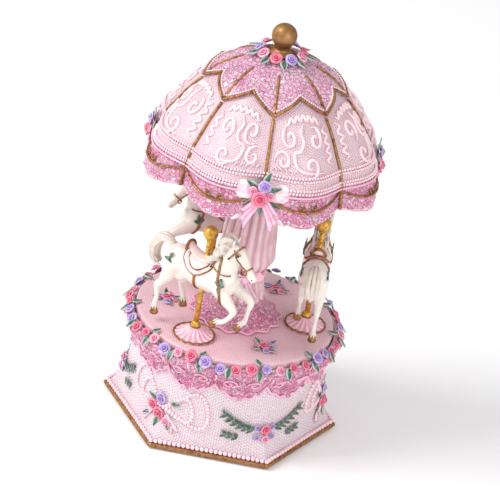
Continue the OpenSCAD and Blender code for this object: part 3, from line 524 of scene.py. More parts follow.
DOME_CURVE = smooth_through([(0, 0), (0.04, 0.14), (0.1, 0.29), (0.18, 0.455), (0.32, 0.625), (0.45, 0.75),
                             (0.58, 0.845), (0.69, 0.92), (0.78, 0.955), (0.9, 0.985), (1, 1)])
BULGE_CURVE = smooth_through([(0.06, 0), (0.2, 0.34), (0.45, 0.55), (0.78, 0.72), (1, 1)])
COLUMN_CURVE = smooth_through([(0, 0.95), (0.08, 0.86), (0.13, 0.78), (0.21, 0.78), (0.24, 0.95), (0.38, 1),
                               (0.55, 0.93), (0.75, 0.83), (0.9, 0.84), (1, 0.95)])


def lobe(a):
    """0 on a rib, 1 in the middle of a panel."""
    s = np.abs(np.sin(np.radians(PANELS * (a - CANOPY_TURN) / 2)))
    return 0.5 * s + 0.5 * s * s


def dome_surface(a, share):
    a, share = np.broadcast_arrays(np.asarray(a, float), np.asarray(share, float))
    s = np.minimum(share, 1)
    r = RIB_END_R * DOME_CURVE(s) + PANEL_BULGE * BULGE_CURVE(s) * lobe(a)
    return polar(r, a, DOME_TOP - s * DOME_H - (share - s) * VALANCE_DROP * lobe(a))


def hexagon_r(a):
    return FOOT_R * math.cos(math.pi / 6) / np.cos(np.radians(np.mod(a, 60) - 30))


def body_surface(a, z):
    a, z = np.broadcast_arrays(np.asarray(a, float), np.asarray(z, float))
    foot = np.exp(-(z - SHELL_Z) / FLARE_FALL)
    lip = eased((z - RIM_Z + 8.6) / 6)
    return polar(BODY_R + (hexagon_r(a) - FOOT_INSET - BODY_R) * foot + (RIM_R - BODY_R) * lip, a, z)


def lifted(surface, a, v, lift):
    """Points above a surface, and its normals there."""
    du = surface(np.asarray(a) + 0.1, v) - surface(np.asarray(a) - 0.1, v)
    dv = surface(a, np.asarray(v) + 0.01) - surface(a, np.asarray(v) - 0.01)
    normal = unit(np.cross(du, dv))
    p = surface(a, v)
    outward = np.sign(np.sum(normal[..., :2] * p[..., :2], -1, keepdims=True) + 1e-9)
    normal = normal * outward
    return p + normal * np.asarray(lift, float)[..., None], normal


# ------------------------------------------------------------------ trims
def blade_axes(along, out):
    """Unit vectors along a blade, across it and out of its face."""
    along = unit(np.asarray(along, float))
    side = unit(np.cross(out, along))
    return along, side, np.cross(along, side)


def rose(shape, centre, out, radius, part=0, lean=0.0):
    """A bloom facing "out": a bud inside three upright petals and five that open flat."""
    out = unit(np.asarray(out, float))
    right, up = axes_for(out, lean)
    shape.ball(np.asarray(centre) + out * radius * 0.45, radius * 0.33, part, 1.0)
    u = np.linspace(-1, 1, 6)[None, :]
    v = np.linspace(0, 1, 4)[:, None]
    for ring, (number, inner, outer, rise, droop, span) in enumerate([(3, 0.2, 0.5, 0.55, 0.1, 66),
                                                                     (5, 0.35, 0.97, 0.5, 0.42, 44)]):
        for k in range(number):
            turn = np.radians(k * 360 / number + ring * 25 + u * span + 6 * v)
            r = radius * (inner + (outer - inner) * v * (1 - 0.18 * u**2 * v))
            height = radius * (0.12 + rise * v - droop * v**3 + 0.07 * u)
            p = (r * np.cos(turn))[..., None] * right + (r * np.sin(turn))[..., None] * up
            p = p + height[..., None] * out + centre
            shape.slab(p, radius * 0.13, part, 0.9 * (1 - v) ** 1.5 + 0 * u)


def leaf(shape, base, along, out, length, width, part=0, curl=0.1, edge=0.9):
    """A pointed blade with a midrib; its border is painted with the second colour."""
    along, side, out = blade_axes(along, out)
    u = np.array([-1, -0.82, -0.4, 0, 0.4, 0.82, 1])[None, :]
    v = np.linspace(0, 1, 7)[:, None]
    half = width / 2 * np.sin(math.pi * (0.06 + 0.92 * v)) ** 0.8 * (1 + 0.25 * np.cos(math.pi * v))
    half = half * (1 + 0.07 * np.sin(v * 18) * np.abs(u))
    height = 0.22 * width * np.abs(u) - 0.2 * width * u**2 + curl * length * v**2 + 0.12 * width * (1
        - np.abs(u))
    p = np.asarray(base) + v[..., None] * along * length + (half * u)[..., None] * side
    p = p + height[..., None] * out
    tint = edge * np.where(np.abs(u) > 0.8, 1.0, 0.0) + 0 * v
    shape.slab(p, 0.35, part, tint)


def puff(shape, base, along, out, length, width, thick, part=0, folds=5):
    """A plump loop of ribbon with folds that gather at its base."""
    along, side, out = blade_axes(along, out)
    v = np.linspace(0, 1, 12)[:, None]
    t = np.linspace(0, 2 * math.pi, 32, endpoint=False)[None, :]
    swell = 0.24 + 0.76 * np.sin(math.pi * np.clip(v, 0, 1) * 0.62) ** 1.3
    swell = swell * np.sqrt(np.clip(1 - np.clip((v - 0.72) / 0.28, 0, 1) ** 2, 0.02, 1))
    groove = 1 - 0.2 * (1 - v) * (0.5 + 0.5 * np.cos(folds * 2 * t))
    hollow = 1 - 0.35 * np.exp(-((v - 0.62) / 0.2) ** 2) * np.clip(np.sin(t), 0, 1) ** 2
    x = width / 2 * swell * np.cos(t) * groove
    y = thick / 2 * swell * np.sin(t) * groove * hollow
    p = np.asarray(base) + (length * v * np.ones_like(t))[..., None] * along
    p = p + x[..., None] * side + y[..., None] * out
    shape.grid(p, part, 0.8 * (1 - v) ** 2 + 0 * t, caps=True)


def ribbon_tail(shape, base, along, out, length, wide, part=0, sway=0.5):
    """A ribbon's end: it widens, waves and ends in a notch."""
    along, side, out = blade_axes(along, out)
    u = np.linspace(-1, 1, 9)[None, :]
    v = np.linspace(0, 1, 9)[:, None]
    half = wide / 2 * (0.4 + 0.6 * v)
    reach = length * v * (1 - 0.22 * (1 - np.abs(u)) * v**3)
    crease = np.cos(3 * math.pi * u)
    height = sway * np.sin(2.4 * math.pi * v) + 0.42 * crease * (0.4 + v)
    p = np.asarray(base) + reach[..., None] * along + (half * u)[..., None] * side + height[..., None] * out
    shape.slab(p, 0.6, part, np.clip(0.45 - 0.5 * crease, 0, 1) + 0.3 * (1 - v))


def pearls(shape, path, radius, pitch, part=0):
    """Pearls along a path, each half sunk; "pitch" is their distance."""
    step = np.linalg.norm(np.diff(path, axis=0), axis=1)
    run = np.concatenate([[0], np.cumsum(step)])
    count = max(int(round(run[-1] / pitch)), 1)
    for s in np.linspace(0, run[-1], count + 1)[:-1]:
        p = [np.interp(s, run, path[:, k]) for k in range(3)]
        shape.ball(p, radius * rng.uniform(0.94, 1.03), part, rng.uniform(0, 0.25))


# ------------------------------------------------------------------ the base
def foot_plate():
    """Hexagonal gilded plate with a rolled edge and an opening for the mount plate."""
    shape = Shape()
    a = np.arange(0, 360, 2.5)
    z0, z1 = low("foot_plate")[2], high("foot_plate")[2]
    outer = hexagon_r(a)
    inner = BODY_R - SIDE_WALL - FOOT_LEDGE
    rows = []
    for inset, z in [(0.5, z0), (0.12, z0 + 0.3), (0, z0 + 0.9), (0.12, z1 - 0.3), (0.5, z1), (6, z1)]:
        rows.append(polar(outer - inset, a, z))
    rows += [polar(inner, a, z1), polar(inner, a, z0)]
    shape.grid(np.array(rows), loop=True)
    make("foot_plate_edge", shape, [BRONZE], "base", ["foot_plate"])


def foot_pearls():
    """A row of pearls on the foot plate, round the body."""
    shape = Shape()
    a = np.linspace(0, 360, 721)
    path = polar(hexagon_r(a) - FOOT_INSET + 0.5, a, SHELL_Z + 0.95)
    pearls(shape, path, 0.98, 1.95)
    make("foot_pearl_row", shape, [PEARL], "base", ["foot_beads"])


def body_shell():
    """Six-sided at the foot, round above, cast over net; open below and recessed for the deck."""
    shape = Shape()
    a = np.arange(0, 360, 1.25)
    z = np.linspace(SHELL_Z, RIM_Z - 0.5, 46)
    outside = [body_surface(a, h) for h in z]
    seat = DECK_R + DECK_GAP
    cavity = BODY_R - SIDE_WALL
    rows = outside + [polar(RIM_R - 0.5, a, RIM_Z), polar(seat + 0.2, a, RIM_Z), polar(seat, a, RIM_Z - 0.2),
                      polar(seat, a, RIM_Z - RIM_STEP), polar(cavity, a, RIM_Z - RIM_STEP),
                      polar(cavity, a, SHELL_Z)]
    rows = np.array(rows)
    run = np.concatenate([[0], np.cumsum(np.linalg.norm(np.diff(rows[:, 0], axis=0), axis=1))])
    around = np.arange(0, 361, 1.25) * math.pi / 180 * BODY_R
    shape.grid(rows, loop=True, flow=(around, run))
    make("body_net", shape, [NET_BODY], "base", ["base_shell"])


SWAGS = 12


def drape_edge(a):
    """Height of the lace's lower edge: twelve swags with small scallops."""
    t = np.mod((a + 3) * SWAGS / 360, 1)
    deep = np.sin(math.pi * t) ** 0.75
    small = np.abs(np.sin(math.pi * t * 5))
    return 36.0 - 5.6 * deep - 1.0 * small - 0.5 * ripple(a * 0.75, 0 * a, 4, 2)


def lace_drape():
    """Lace that hangs in swags from the rim, with raised scrolls and a corded edge."""
    shape = Shape()
    a = np.arange(0, 360, 0.75)
    edge = drape_edge(a)
    rows = []
    for v in np.linspace(0, 1, 15):
        z = RIM_Z - 0.2 + (edge - RIM_Z + 0.2) * v
        fold = 0.4 * np.sin(np.radians(a * SWAGS * 3)) * v + 0.55 * ripple(a * 0.75, z, 2.2, 4)
        rows.append(lifted(body_surface, a, z, 0.9 + fold)[0])
    rows.append(lifted(body_surface, a, edge, -0.4)[0])
    rows.append(lifted(body_surface, a, RIM_Z - 0.2 + 0 * a, -0.4)[0])
    shape.grid(np.array(rows), loop=True)
    cord = lifted(body_surface, a, edge, 0.8)[0]
    shape.tube(cord, 0.55, 8, 1, closed=True)
    for k in range(SWAGS):
        start = -3 + k * 30
        for turn in (1, -1):
            t = np.linspace(0, 1, 26)
            swirl = 2.6 * math.pi * t
            size = 3.3 * (1 - 0.8 * t)
            aa = start + 15 + turn * (7.2 - size * np.cos(swirl) * 1.35)
            zz = 37.5 + 1.1 * size * np.sin(swirl)
            shape.tube(lifted(body_surface, aa, zz, 1.35)[0], 0.42, 6, 1)
        drop = np.linspace(0, 1, 12)
        shape.tube(lifted(body_surface, start + 0.4 * np.sin(9 * drop), 42 - 4.5 * drop, 1.3)[0],
                   0.5 - 0.25 * drop, 6, 1)
    make("body_lace", shape, [LACE, HEM], "base")


def rim_garland():
    """Roses in pairs, pink then lavender, with leaves between them and over the deck's edge."""
    blooms, leaves = Shape(), Shape()
    count = 44
    for i in range(count):
        a = (i + 0.5) * 360 / count
        size = rng.uniform(2.0, 2.9)
        r = DECK_R + 0.15 + size
        z = RIM_Z + 0.8 + 0.9 * math.sin(math.radians(i * 80)) + rng.uniform(-0.7, 0.6)
        look = [0, 2][(i // 2) % 2] if i % 7 else 1
        out = polar(1, a + rng.uniform(-15, 15)) + [0, 0, 1]
        rose(blooms, polar(r, a, z), out, size, look, rng.uniform(0, 72))
        if i % 2:
            bud = polar(RIM_R + 0.9, a + 4, RIM_Z - 1.7 + rng.uniform(-0.8, 0.8))
            rose(blooms, bud, polar(1, a) + [0, 0, 0.2], rng.uniform(1.7, 2.2), (look + 1) % 3)
    for i in range(count // 2):
        a = (2 * i + 0.04) * 360 / count
        base = polar(RIM_R + 0.4, a, RIM_Z + 1.2)
        turn = math.radians(rng.uniform(-30, 30))
        sideways = polar(1, a + 90)
        over = polar(1, a) * math.cos(turn) + sideways * math.sin(turn) - [0, 0, 1.1]
        leaf(leaves, base, over, polar(1, a) + [0, 0, 0.4], 4.8, 3.0, curl=-0.05)
        inward = -polar(1, a) * 0.9 + sideways * 0.5 * math.sin(turn)
        if i % 2:
            leaf(leaves, polar(RIM_R - 0.6, a, DECK_TOP + 0.6), inward, [0, 0, 1], 4.2, 2.8, curl=0.03)
    make("rim_blooms", blooms, [ROSE, ROSE_PALE, LAVENDER], "base", ["rim_roses"])
    make("rim_foliage", leaves, [LEAF], "base", ["rim_leaves"])


def on_body(a, z, lift):
    return lifted(body_surface, a, z, lift)[0]


def body_bows():
    """Bows of double pearl rows with a rose, two buds, leaves and ribbon ends."""
    shape = Shape()
    for a0 in BOW_ANGLES:
        for side, tilt, long_, wide in ((-1, 24, 19.5, 7.8), (1, 12, 21.5, 9.2)):
            for size in (1.0, 0.68):
                turn = np.linspace(0, 2 * math.pi, 90)
                out = long_ * size * np.sin(turn / 2) ** 0.9
                across = wide * size * np.sin(turn) * np.abs(np.sin(turn / 2)) ** 0.5
                c, s = math.cos(math.radians(tilt)), math.sin(math.radians(tilt))
                x = side * (out * c - across * s) - 2.2
                z = 16.4 + out * s + across * c
                pearls(shape, on_body(a0 + np.degrees(x / (BODY_R + 1.5)), z, 0.35 + 0 * x), 0.85, 1.6, 0)
        for da, z, r, part in ((-3.4, 20.3, 2.7, 3), (-8.3, 15.6, 2.7, 1), (-2.6, 13.8, 2.8, 1),
                               (3.0, 11.6, 2.2, 2)):
            rose(shape, on_body(a0 + da, z, 0.5), polar(1, a0 + da), r, part, rng.uniform(0, 70))
        for da, z, across, up in ((-6, 18.6, -1, 0.4), (3.6, 19.8, 1, 0.35), (-2.4, 11.8, -0.2, -1),
                                  (-9, 12.6, -0.8, -0.7), (1.8, 12.2, 0.7, -0.9)):
            toward = polar(1, a0 + da + 90) * across + [0, 0, up]
            leaf(shape, on_body(a0 + da, z, 0.6), toward, polar(1, a0 + da), 4.6, 2.8, 4)
        for da, across in ((2.0, 1.0), (-7.5, -0.9)):
            toward = polar(1, a0 + da + 90) * across - [0, 0, 1.1]
            ribbon_tail(shape, on_body(a0 + da, 14.2, 0.9), toward, polar(1, a0 + da), 8.2, 3.4, 5, 0.3)
    make("body_pearl_bows", shape, [PEARL, ROSE, ROSE_PALE, LAVENDER, LEAF, RIBBON], "base",
         ["body_bows"])


def body_garlands():
    """Sprigs of leaves in a shallow arc with a rose and buds in the middle, a second row below."""
    shape = Shape()
    for a0 in GARLAND_ANGLES:
        for row, (half, drop, z0, count, size) in enumerate([(23, 6.5, 21.5, 6, 3.3),
            (22, 1.5, 12.4, 3, 2.7)]):
            spine = np.linspace(-half, half, 60)
            zz = z0 - drop * (1 - (spine / half) ** 2)
            if row == 0:
                shape.tube(on_body(a0 + spine, zz, 0.25 + 0 * spine), 0.3, 6, 0)
            for i in range(count):
                for side in (-1, 1):
                    da = side * half * (0.3 + 0.4 * row + (0.7 - 0.4 * row) * i / (count - 1))
                    z = z0 - drop * (1 - (da / half) ** 2)
                    for lean in (0.75, -0.75):
                        toward = polar(1, a0 + da + 90) * side + [0, 0, lean + 0.3]
                        leaf(shape, on_body(a0 + da, z, 0.5), toward, polar(1, a0 + da), size, 1.5, 0,
                             edge=0.2)
            z = z0 - drop + 0.6
            rose(shape, on_body(a0, z, 0.4), polar(1, a0), 2.5 - 0.6 * row, 1 if row == 0 else 2, 20)
            for da in (-4.6, 4.6):
                rose(shape, on_body(a0 + da, z + 0.6, 0.3), polar(1, a0 + da), 1.5, 3, 40 + da)
    make("body_leaf_garlands", shape, [LEAF, ROSE, ROSE_PALE, LAVENDER], "base", ["body_garlands"])


# ------------------------------------------------------------------ the turning deck
def deck():
    """Round platform: woven top, rounded edge, and a step where its underside clears the base."""
    shape = Shape()
    a = np.arange(0, 360, 2.0)
    z0, z1 = low("turntable")[2], DECK_TOP
    profile = [(DECK_R - 0.3, z0), (DECK_R, z0 + 0.3), (DECK_R, z1 - 1.0), (DECK_R - 0.2, z1 - 0.4),
               (DECK_R - 0.7, z1), (DECK_R - 1.6, z1), (30, z1), (19, z1), (2.2, z1), (2.2, z0)]
    shape.grid(np.array([polar(r, a, z) for r, z in profile]), loop=True)
    make("deck_disc", shape, [DECK], "carousel", ["turntable"])


def posies():
    """A rose with smaller blooms and leaves, lying on the deck between the horses."""
    shape = Shape()
    for a0 in GARLAND_ANGLES:
        for x, y, r, part in ((0, 0, 2.3, 1), (-3.3, 1.0, 1.8, 2), (3.2, 0.8, 1.8, 3), (0.4, 3.4, 1.6, 2),
                              (-0.6, -3.0, 1.6, 3)):
            centre = placed([x, y, r * 0.25], POLE_RING_R, a0, DECK_TOP)
            rose(shape, centre, placed([x * 0.1, y * 0.1, 1], 0, a0, 0), r, part, 30 * x)
        for turn in (20, 105, 190, 290):
            c, s = math.cos(math.radians(turn)), math.sin(math.radians(turn))
            base = placed([2.4 * c, 2.4 * s, 0.5], POLE_RING_R, a0, DECK_TOP)
            leaf(shape, base, placed([c, s, 0.12], 0, a0, 0), [0, 0, 1], 4.0, 2.4, 0, 0.12)
    make("deck_blooms", shape, [LEAF, ROSE, ROSE_PALE, LAVENDER], "carousel", ["deck_posies"])


def pedestals():
    """Fluted shells with a gilded rim at the foot of every pole, with painted shade in their flutes."""
    t = np.arange(0, 360, 3.0)
    flute = 0.5 + 0.5 * np.cos(np.radians(t * 16))
    for k in range(3):
        shape = Shape()
        rows, groove_shade = [], []
        for s in np.linspace(0, 1, 14):
            r = 1.4 + (PEDESTAL_R - 2.0) * s**0.8
            h = (PEDESTAL_H - 1.2) * (1 - s) ** 1.6 + 0.8
            cut = 0.65 * math.sin(math.pi * min(s * 1.1, 1)) * flute
            ring = np.stack([(r + 0.4 * flute * s) * np.cos(np.radians(t)), (r + 0.4 * flute * s)
                             * np.sin(np.radians(t)), h - cut + 0 * t], -1)
            rows.append(ring)
            # painted shade: the fan's darker pink is laid into the flutes' grooves
            groove_shade.append(0.9 * flute)
        rows.append(np.stack([(PEDESTAL_R - 0.9) * np.cos(np.radians(t)),
                              (PEDESTAL_R - 0.9) * np.sin(np.radians(t)), 0.02 + 0 * t], -1))
        groove_shade.append(0 * t)
        shape.grid(placed(np.array(rows), POLE_RING_R, 120 * k, DECK_TOP), 0, np.array(groove_shade), caps=True)
        edge = np.stack([(PEDESTAL_R - 0.75) * np.cos(np.radians(t)), (PEDESTAL_R - 0.75)
                         * np.sin(np.radians(t)), 0.72 + 0.2 * flute], -1)
        shape.tube(placed(edge, POLE_RING_R, 120 * k, DECK_TOP), 0.45, 8, 1, closed=True)
        collar = np.stack([1.75 * np.cos(np.radians(t)), 1.75 * np.sin(np.radians(t)),
                           PEDESTAL_H - 0.5 + 0 * t], -1)
        shape.tube(placed(collar[::4], POLE_RING_R, 120 * k, DECK_TOP), 0.5, 8, 1, closed=True)
        make(f"pedestal_fan_{k + 1}", shape, [FAN, BRONZE, GOLD], "carousel", [f"pedestal_{k + 1}"])


def poles():
    """Gilded poles: a slim shank, a twisted upper part, and a ball on a small collar."""
    for k in range(3):
        shape = Shape()
        top = BALL_Z - DECK_TOP
        shape.tube([[0, 0, 0.4], [0, 0, 20], [0, 0, 38.5]], 1.12, 16, 0)
        heights = np.linspace(37.5, top - BALL_R * 0.8, 60)
        path = np.stack([0 * heights, 0 * heights, heights], -1)
        for strand in range(3):
            turn = heights * 1.15 + strand * 2 * math.pi / 3
            shape.tube(path + 0.42 * np.stack([np.cos(turn), np.sin(turn), 0 * turn], -1), 0.72, 8, 0)
        shape.tube(spline([[0, 0, 4.4], [0, 0, 5.2], [0, 0, 6.2], [0, 0, 6.8]], 8),
                   [1.2, 1.9, 2.1, 1.9, 1.5, 1.7, 1.5, 1.15], 16, 0)
        shape.tube([[0, 0, top - BALL_R - 0.6], [0, 0, top - BALL_R - 0.1], [0, 0, top - BALL_R + 0.5]],
                   [1.2, 1.6, 1.0], 16, 0)
        shape.ball([0, 0, top], BALL_R, 1, fine=True)
        shape.points = [placed(p, POLE_RING_R, 120 * k, DECK_TOP) for p in shape.points]
        make(f"pole_twist_{k + 1}", shape, [GOLD, GOLD], "carousel", [f"pole_{k + 1}"])


# ------------------------------------------------------------------ the column
def column():
    """Pleated curtain, pinched where a ribbon ties it, with painted shade in the valleys of its pleats."""
    shape = Shape()
    a = np.arange(0, 360, 1.5)
    rows, groove_shade = [], []
    for t in np.linspace(0, 1, 60):
        sway = 3 * math.sin(5 * t)
        crease = np.abs(np.cos(np.radians((a + sway) * 9)))
        r = COLUMN_R * COLUMN_CURVE(t) + 0.15 - 1.35 * (1 - crease) ** 1.3
        r = r + 0.25 * np.sin(np.radians(a * 5) + 9 * t)
        rows.append(polar(np.maximum(r, 4), a, COLUMN_Z + (COLUMN_TOP - COLUMN_Z) * t))
        # painted shade: the curtain's darker second colour is laid into the pleats' valleys
        groove_shade.append(0.75 * (1 - crease) ** 1.2)
    shape.grid(np.array(rows), 0, np.array(groove_shade), caps=True)
    make("column_curtain", shape, [CURTAIN], "carousel", ["column"])


def column_skirt():
    """Ruffled lace round the foot of the column."""
    shape = Shape()
    a = np.arange(0, 360, 1.5)
    height = COLUMN_Z - DECK_TOP
    rows = [polar(5, a, COLUMN_Z - 0.3), polar(8.6, a, COLUMN_Z - 0.2)]
    for t in np.linspace(0, 1, 14):
        wave = np.cos(np.radians(a * 14))
        r = 9.4 + (COLUMN_FOOT_R - 1.0 - 9.4) * t**1.5 + (0.15 + 0.75 * t) * wave
        z = COLUMN_Z - 0.4 - (height - 0.9) * t**0.85 + 0.3 * np.abs(np.sin(np.radians(a * 7))) * t
        rows.append(polar(r, a, z))
    rows += [polar(COLUMN_FOOT_R - 3, a, DECK_TOP + 0.05), polar(5, a, DECK_TOP + 0.05)]
    shape.grid(np.array(rows), loop=True)
    hem = rows[15] + [0, 0, 0.1]
    shape.tube(hem, 0.5, 8, 1, closed=True)
    collar = polar(9.6 + 0.3 * np.cos(np.radians(a * 9)), a, COLUMN_Z - 0.2)
    pearls(shape, collar, 0.72, 1.5, 2)
    make("column_lace", shape, [LACE, HEM, PEARL], "carousel", ["column_foot"])


def column_tie():
    """Ribbon round the curtain's waist, with a bow and two ends."""
    shape = Shape()
    centre = middle("column_ribbon")
    waist = COLUMN_Z + WAIST_SHARE * (COLUMN_TOP - COLUMN_Z)
    facing = math.degrees(math.atan2(centre[0], -centre[1]))
    r = WAIST_R
    a = np.arange(0, 360, 5.0)
    for dz in (-0.9, 0, 0.9):
        shape.tube(polar(r + 0.1 + 0.15 * np.cos(np.radians(a * 9)), a, waist + dz), 0.62, 8, 0, closed=True)

    at, way = local_axes(r + 1.0, facing, waist)
    out = way(0, -1, 0)
    for side in (-1, 1):
        puff(shape, at(side * 0.4, 0, 0), way(side, 0.12, 0.32), out, 7.6, 5.6, 2.6)
        ribbon_tail(shape, at(side * 0.6, 0.1, -0.8), way(side * 0.5, 0, -1), out, 9.5, 3.6)
    shape.ball(at(0, -0.6, 0), 1.45, 0, 0.3, stretch=np.diag([1, 1, 1.2]))
    make("column_bow", shape, [RIBBON], "carousel", ["column_ribbon"])


# ------------------------------------------------------------------ the canopy
def rib_angle(k):
    return CANOPY_TURN + 360 / PANELS * k


def panel_angle(k):
    return CANOPY_TURN + 360 / PANELS * (k + 0.5)


def dome_shell():
    """Eight puffed panels of net resin on a boss that stands on the column."""
    shape = Shape()
    a = np.arange(0, 360, 1.25)
    shares = np.concatenate([[0.04, 0.06, 0.08, 0.1, 0.13], np.linspace(0.16, 0.83, 36)])
    outside = [dome_surface(a, s) for s in shares]
    inside = []
    for s in (0.8, 0.69, 0.58, 0.45, 0.32, 0.18, 0.1):
        p = dome_surface(a, s)
        r = np.hypot(p[:, 0], p[:, 1]) - WALL
        inside.append(polar(r, a, p[:, 2] - WALL * (1 - s) * 0.7))
    boss = [polar(5.4, a, DOME_TOP - 9), polar(COLUMN_R * 0.88, a, COLUMN_TOP + 0.1),
            polar(1.6, a, COLUMN_TOP + 0.1),
            polar(1.6, a, DOME_TOP - 2.1)]
    rows = np.array(outside + inside + boss)
    run = np.concatenate([[0], np.cumsum(np.linalg.norm(np.diff(rows[:, 0], axis=0), axis=1))])
    around = np.arange(0, 361, 1.25) * math.pi / 180 * 38
    shape.grid(rows, loop=True, flow=(around, run))
    make("dome_net", shape, [NET_DOME], "carousel", ["canopy_shell"])


def scroll(x0, s0, size, turns, start, hand):
    """Spiral in panel coordinates (degrees, share) that unwinds from its middle."""
    t = np.linspace(0, 1, 34)
    r = size * (0.12 + 0.88 * t)
    turn = math.radians(start) + hand * 2 * math.pi * turns * t
    return np.stack([x0 + r * np.cos(turn), s0 - r * np.sin(turn) / 62], -1)


def dome_icing():
    """Piped scrolls, meanders and dots on every panel."""
    shape = Shape()

    def pipe(points, centre, radius):
        points = np.asarray(points, float)
        across, share = centre + 1.18 * points[:, 0], 0.29 + 1.14 * (points[:, 1] - 0.33)
        path = lifted(dome_surface, across, share, 0.3 + 0 * across)[0]
        thin = np.clip(np.linspace(0, 1, len(path)) * 8, 0.45, 1)
        shape.tube(path, 1.12 * radius * thin * thin[::-1], 7, 0)

    for k in range(PANELS):
        centre = panel_angle(k)
        flip = 1 if k % 2 else -1
        top = [(flip * (-12 + 2 * i), 0.33 + 0.026 * (i % 2) + 0.0012 * (i - 6) ** 2) for i in range(13)]
        pipe(spline(top, 100), centre, 0.6)
        border = [(flip * (-14.5 + 2.6 * (i % 2)), 0.4 + 0.028 * i) for i in range(9)]
        pipe(spline(border, 70), centre, 0.58)
        for x, share, size, turns, start, hand in ((8.6, 0.45, 4.6, 1.3, 200, 1),
                                                   (-5.6, 0.46, 4.4, 1.25, 20, -1),
                                                  (11.6, 0.59, 4.2, 1.2, 120, -1),
                                                  (-1.8, 0.61, 4.2, 1.15, 300, 1)):
            pipe(scroll(flip * x, share, size, turns, start, hand * flip), centre, 0.62)
        stem = [(flip * x, share) for x, share in ((0.6, 0.37), (2.6, 0.42), (1.4, 0.47), (3.4, 0.52),
                                                   (6.2, 0.535),
                                                   (5.6, 0.6), (2.2, 0.64), (-7.5, 0.655))]
        pipe(spline(stem, 60), centre, 0.62)
        for i in range(5):
            x = flip * (4.5 + 2.4 * i)
            pipe([(x, 0.655), (x + flip * 1.1, 0.63), (x + flip * 1.9, 0.65)], centre, 0.45)
    make("dome_scrolls", shape, [ICING], "carousel")


def dome_pearls():
    """Two bands of pearls round the dome."""
    shape = Shape()
    a = np.linspace(0, 360, 1441)
    for share in (0.7, 0.79):
        for offset, radius in ((-0.011, 0.62), (0.011, 0.62)):
            path = lifted(dome_surface, a, share + offset + 0 * a, 0.45 + 0 * a)[0]
            pearls(shape, path, radius, 1.3)
    make("dome_pearl_bands", shape, [PEARL], "carousel", ["canopy_beads"])


def dome_gold():
    """Cords on the ribs, a swag from rib to rib and a knot in the middle of each."""
    shape = Shape()
    for k in range(PANELS):
        s = np.linspace(0.34, 1.0, 60)
        wander = 0.12 * np.sin(s * 60 + k)
        shape.tube(lifted(dome_surface, rib_angle(k) + wander, s, 0.4 + 0 * s)[0], 0.62, 8)
        p = lifted(dome_surface, rib_angle(k), 0.985, 0.3)[0]
        shape.ball(p, 0.9)
        t = np.linspace(0, 1, 60)
        a = rib_angle(k) + 360 / PANELS * t
        sag = 0.84 + 0.1 * np.sin(math.pi * t) ** 0.8
        shape.tube(lifted(dome_surface, a, sag, 0.3 + 0 * t)[0], 0.4 + 0.14 * np.sin(math.pi * t), 8)
        mid = panel_angle(k)
        shape.ball(lifted(dome_surface, mid, 0.935, 0.4)[0], 0.7)
        for hand in (-1, 1):
            curl = scroll(mid + hand * 2.6, 0.9, 1.7, 1.1, 90 - 90 * hand, hand)
            path = lifted(dome_surface, curl[:, 0], curl[:, 1], 0.4 + 0 * curl[:, 0])[0]
            shape.tube(path, np.linspace(0.25, 0.45, len(path)), 6)
    make("dome_gold_cords", shape, [BRONZE], "carousel", ["canopy_ribs"])


def valance():
    """Eight lace scallops that hang from the dome's edge, each with a thick smooth hem."""
    shape = Shape()
    a = np.arange(0, 360, 0.75)

    def ruffle(share):
        return (0.15 - 0.6 * (0.5 + 0.5 * np.cos(np.radians(a - CANOPY_TURN) * PANELS * 3))) * (share - 0.75)

    outside = []
    for share in np.linspace(VALANCE_TOP, 1.97, 20):
        fold = ruffle(share) + 0.16 * ripple(a * 0.8, share * 9, 1.6, 3)
        pull = 0.5 * np.clip((share - VALANCE_TOP) / 0.15, 0, 1)
        p = lifted(dome_surface, a, 0 * a + min(share, 0.999), 0.05 + fold - pull)[0]
        p[:, 2] -= max(share - 1, 0) * VALANCE_DROP * lobe(a)
        outside.append(p)
    inside = []
    for share in np.linspace(1.97, VALANCE_TOP, 8):
        p = dome_surface(a, 0 * a + min(share, 1))
        r = np.hypot(p[:, 0], p[:, 1]) - WALL + 0.4 + ruffle(share)
        inside.append(polar(r, a, p[:, 2] - max(share - 1, 0) * VALANCE_DROP * lobe(a)))
    shape.grid(np.array(outside + inside), loop=True)
    middle_line = (outside[-1] + inside[0]) / 2
    hem = middle_line * [0.987, 0.987, 1] + [0, 0, 0.35]
    shape.tube(hem, 1.15 + 0.15 * np.cos(np.radians(a * PANELS * 6)), 12, 1, closed=True)
    shape.tube(lifted(dome_surface, a, 0 * a + 0.83, 0.5 + 0 * a)[0], 0.45, 7, 1, closed=True)
    pearls(shape, outside[-5] * [0.998, 0.998, 1], 0.4, 1.7, 2)
    make("valance_lace", shape, [LACE, HEM, PEARL], "carousel", ["canopy_valance"])


def cap_share(a, t):
    u = np.mod((a - CANOPY_TURN) * PANELS / 180, 2)
    off = np.minimum(u, 2 - u)
    return 0.05 + t * (0.33 - 0.13 * off - 0.05)


def star_cap():
    """Eight-pointed cap of magenta lace over the crown."""
    shape = Shape()
    a = np.arange(0, 360, 1.25)
    rows = []
    for t in np.linspace(0, 1, 22):
        bulge = 0.25 * ripple(a * 0.35, 30 * t, 1.8, 9)
        rows.append(lifted(dome_surface, a, cap_share(a, t), 1.1 + bulge)[0])
    rows.append(lifted(dome_surface, a, cap_share(a, 1.0), 0.1 + 0 * a)[0])
    rows.append(lifted(dome_surface, a, cap_share(a, 0.0), 0.1 + 0 * a)[0])
    shape.grid(np.array(rows), loop=True)
    make("star_cap_lace", shape, [STAR], "carousel", ["star_cap"])


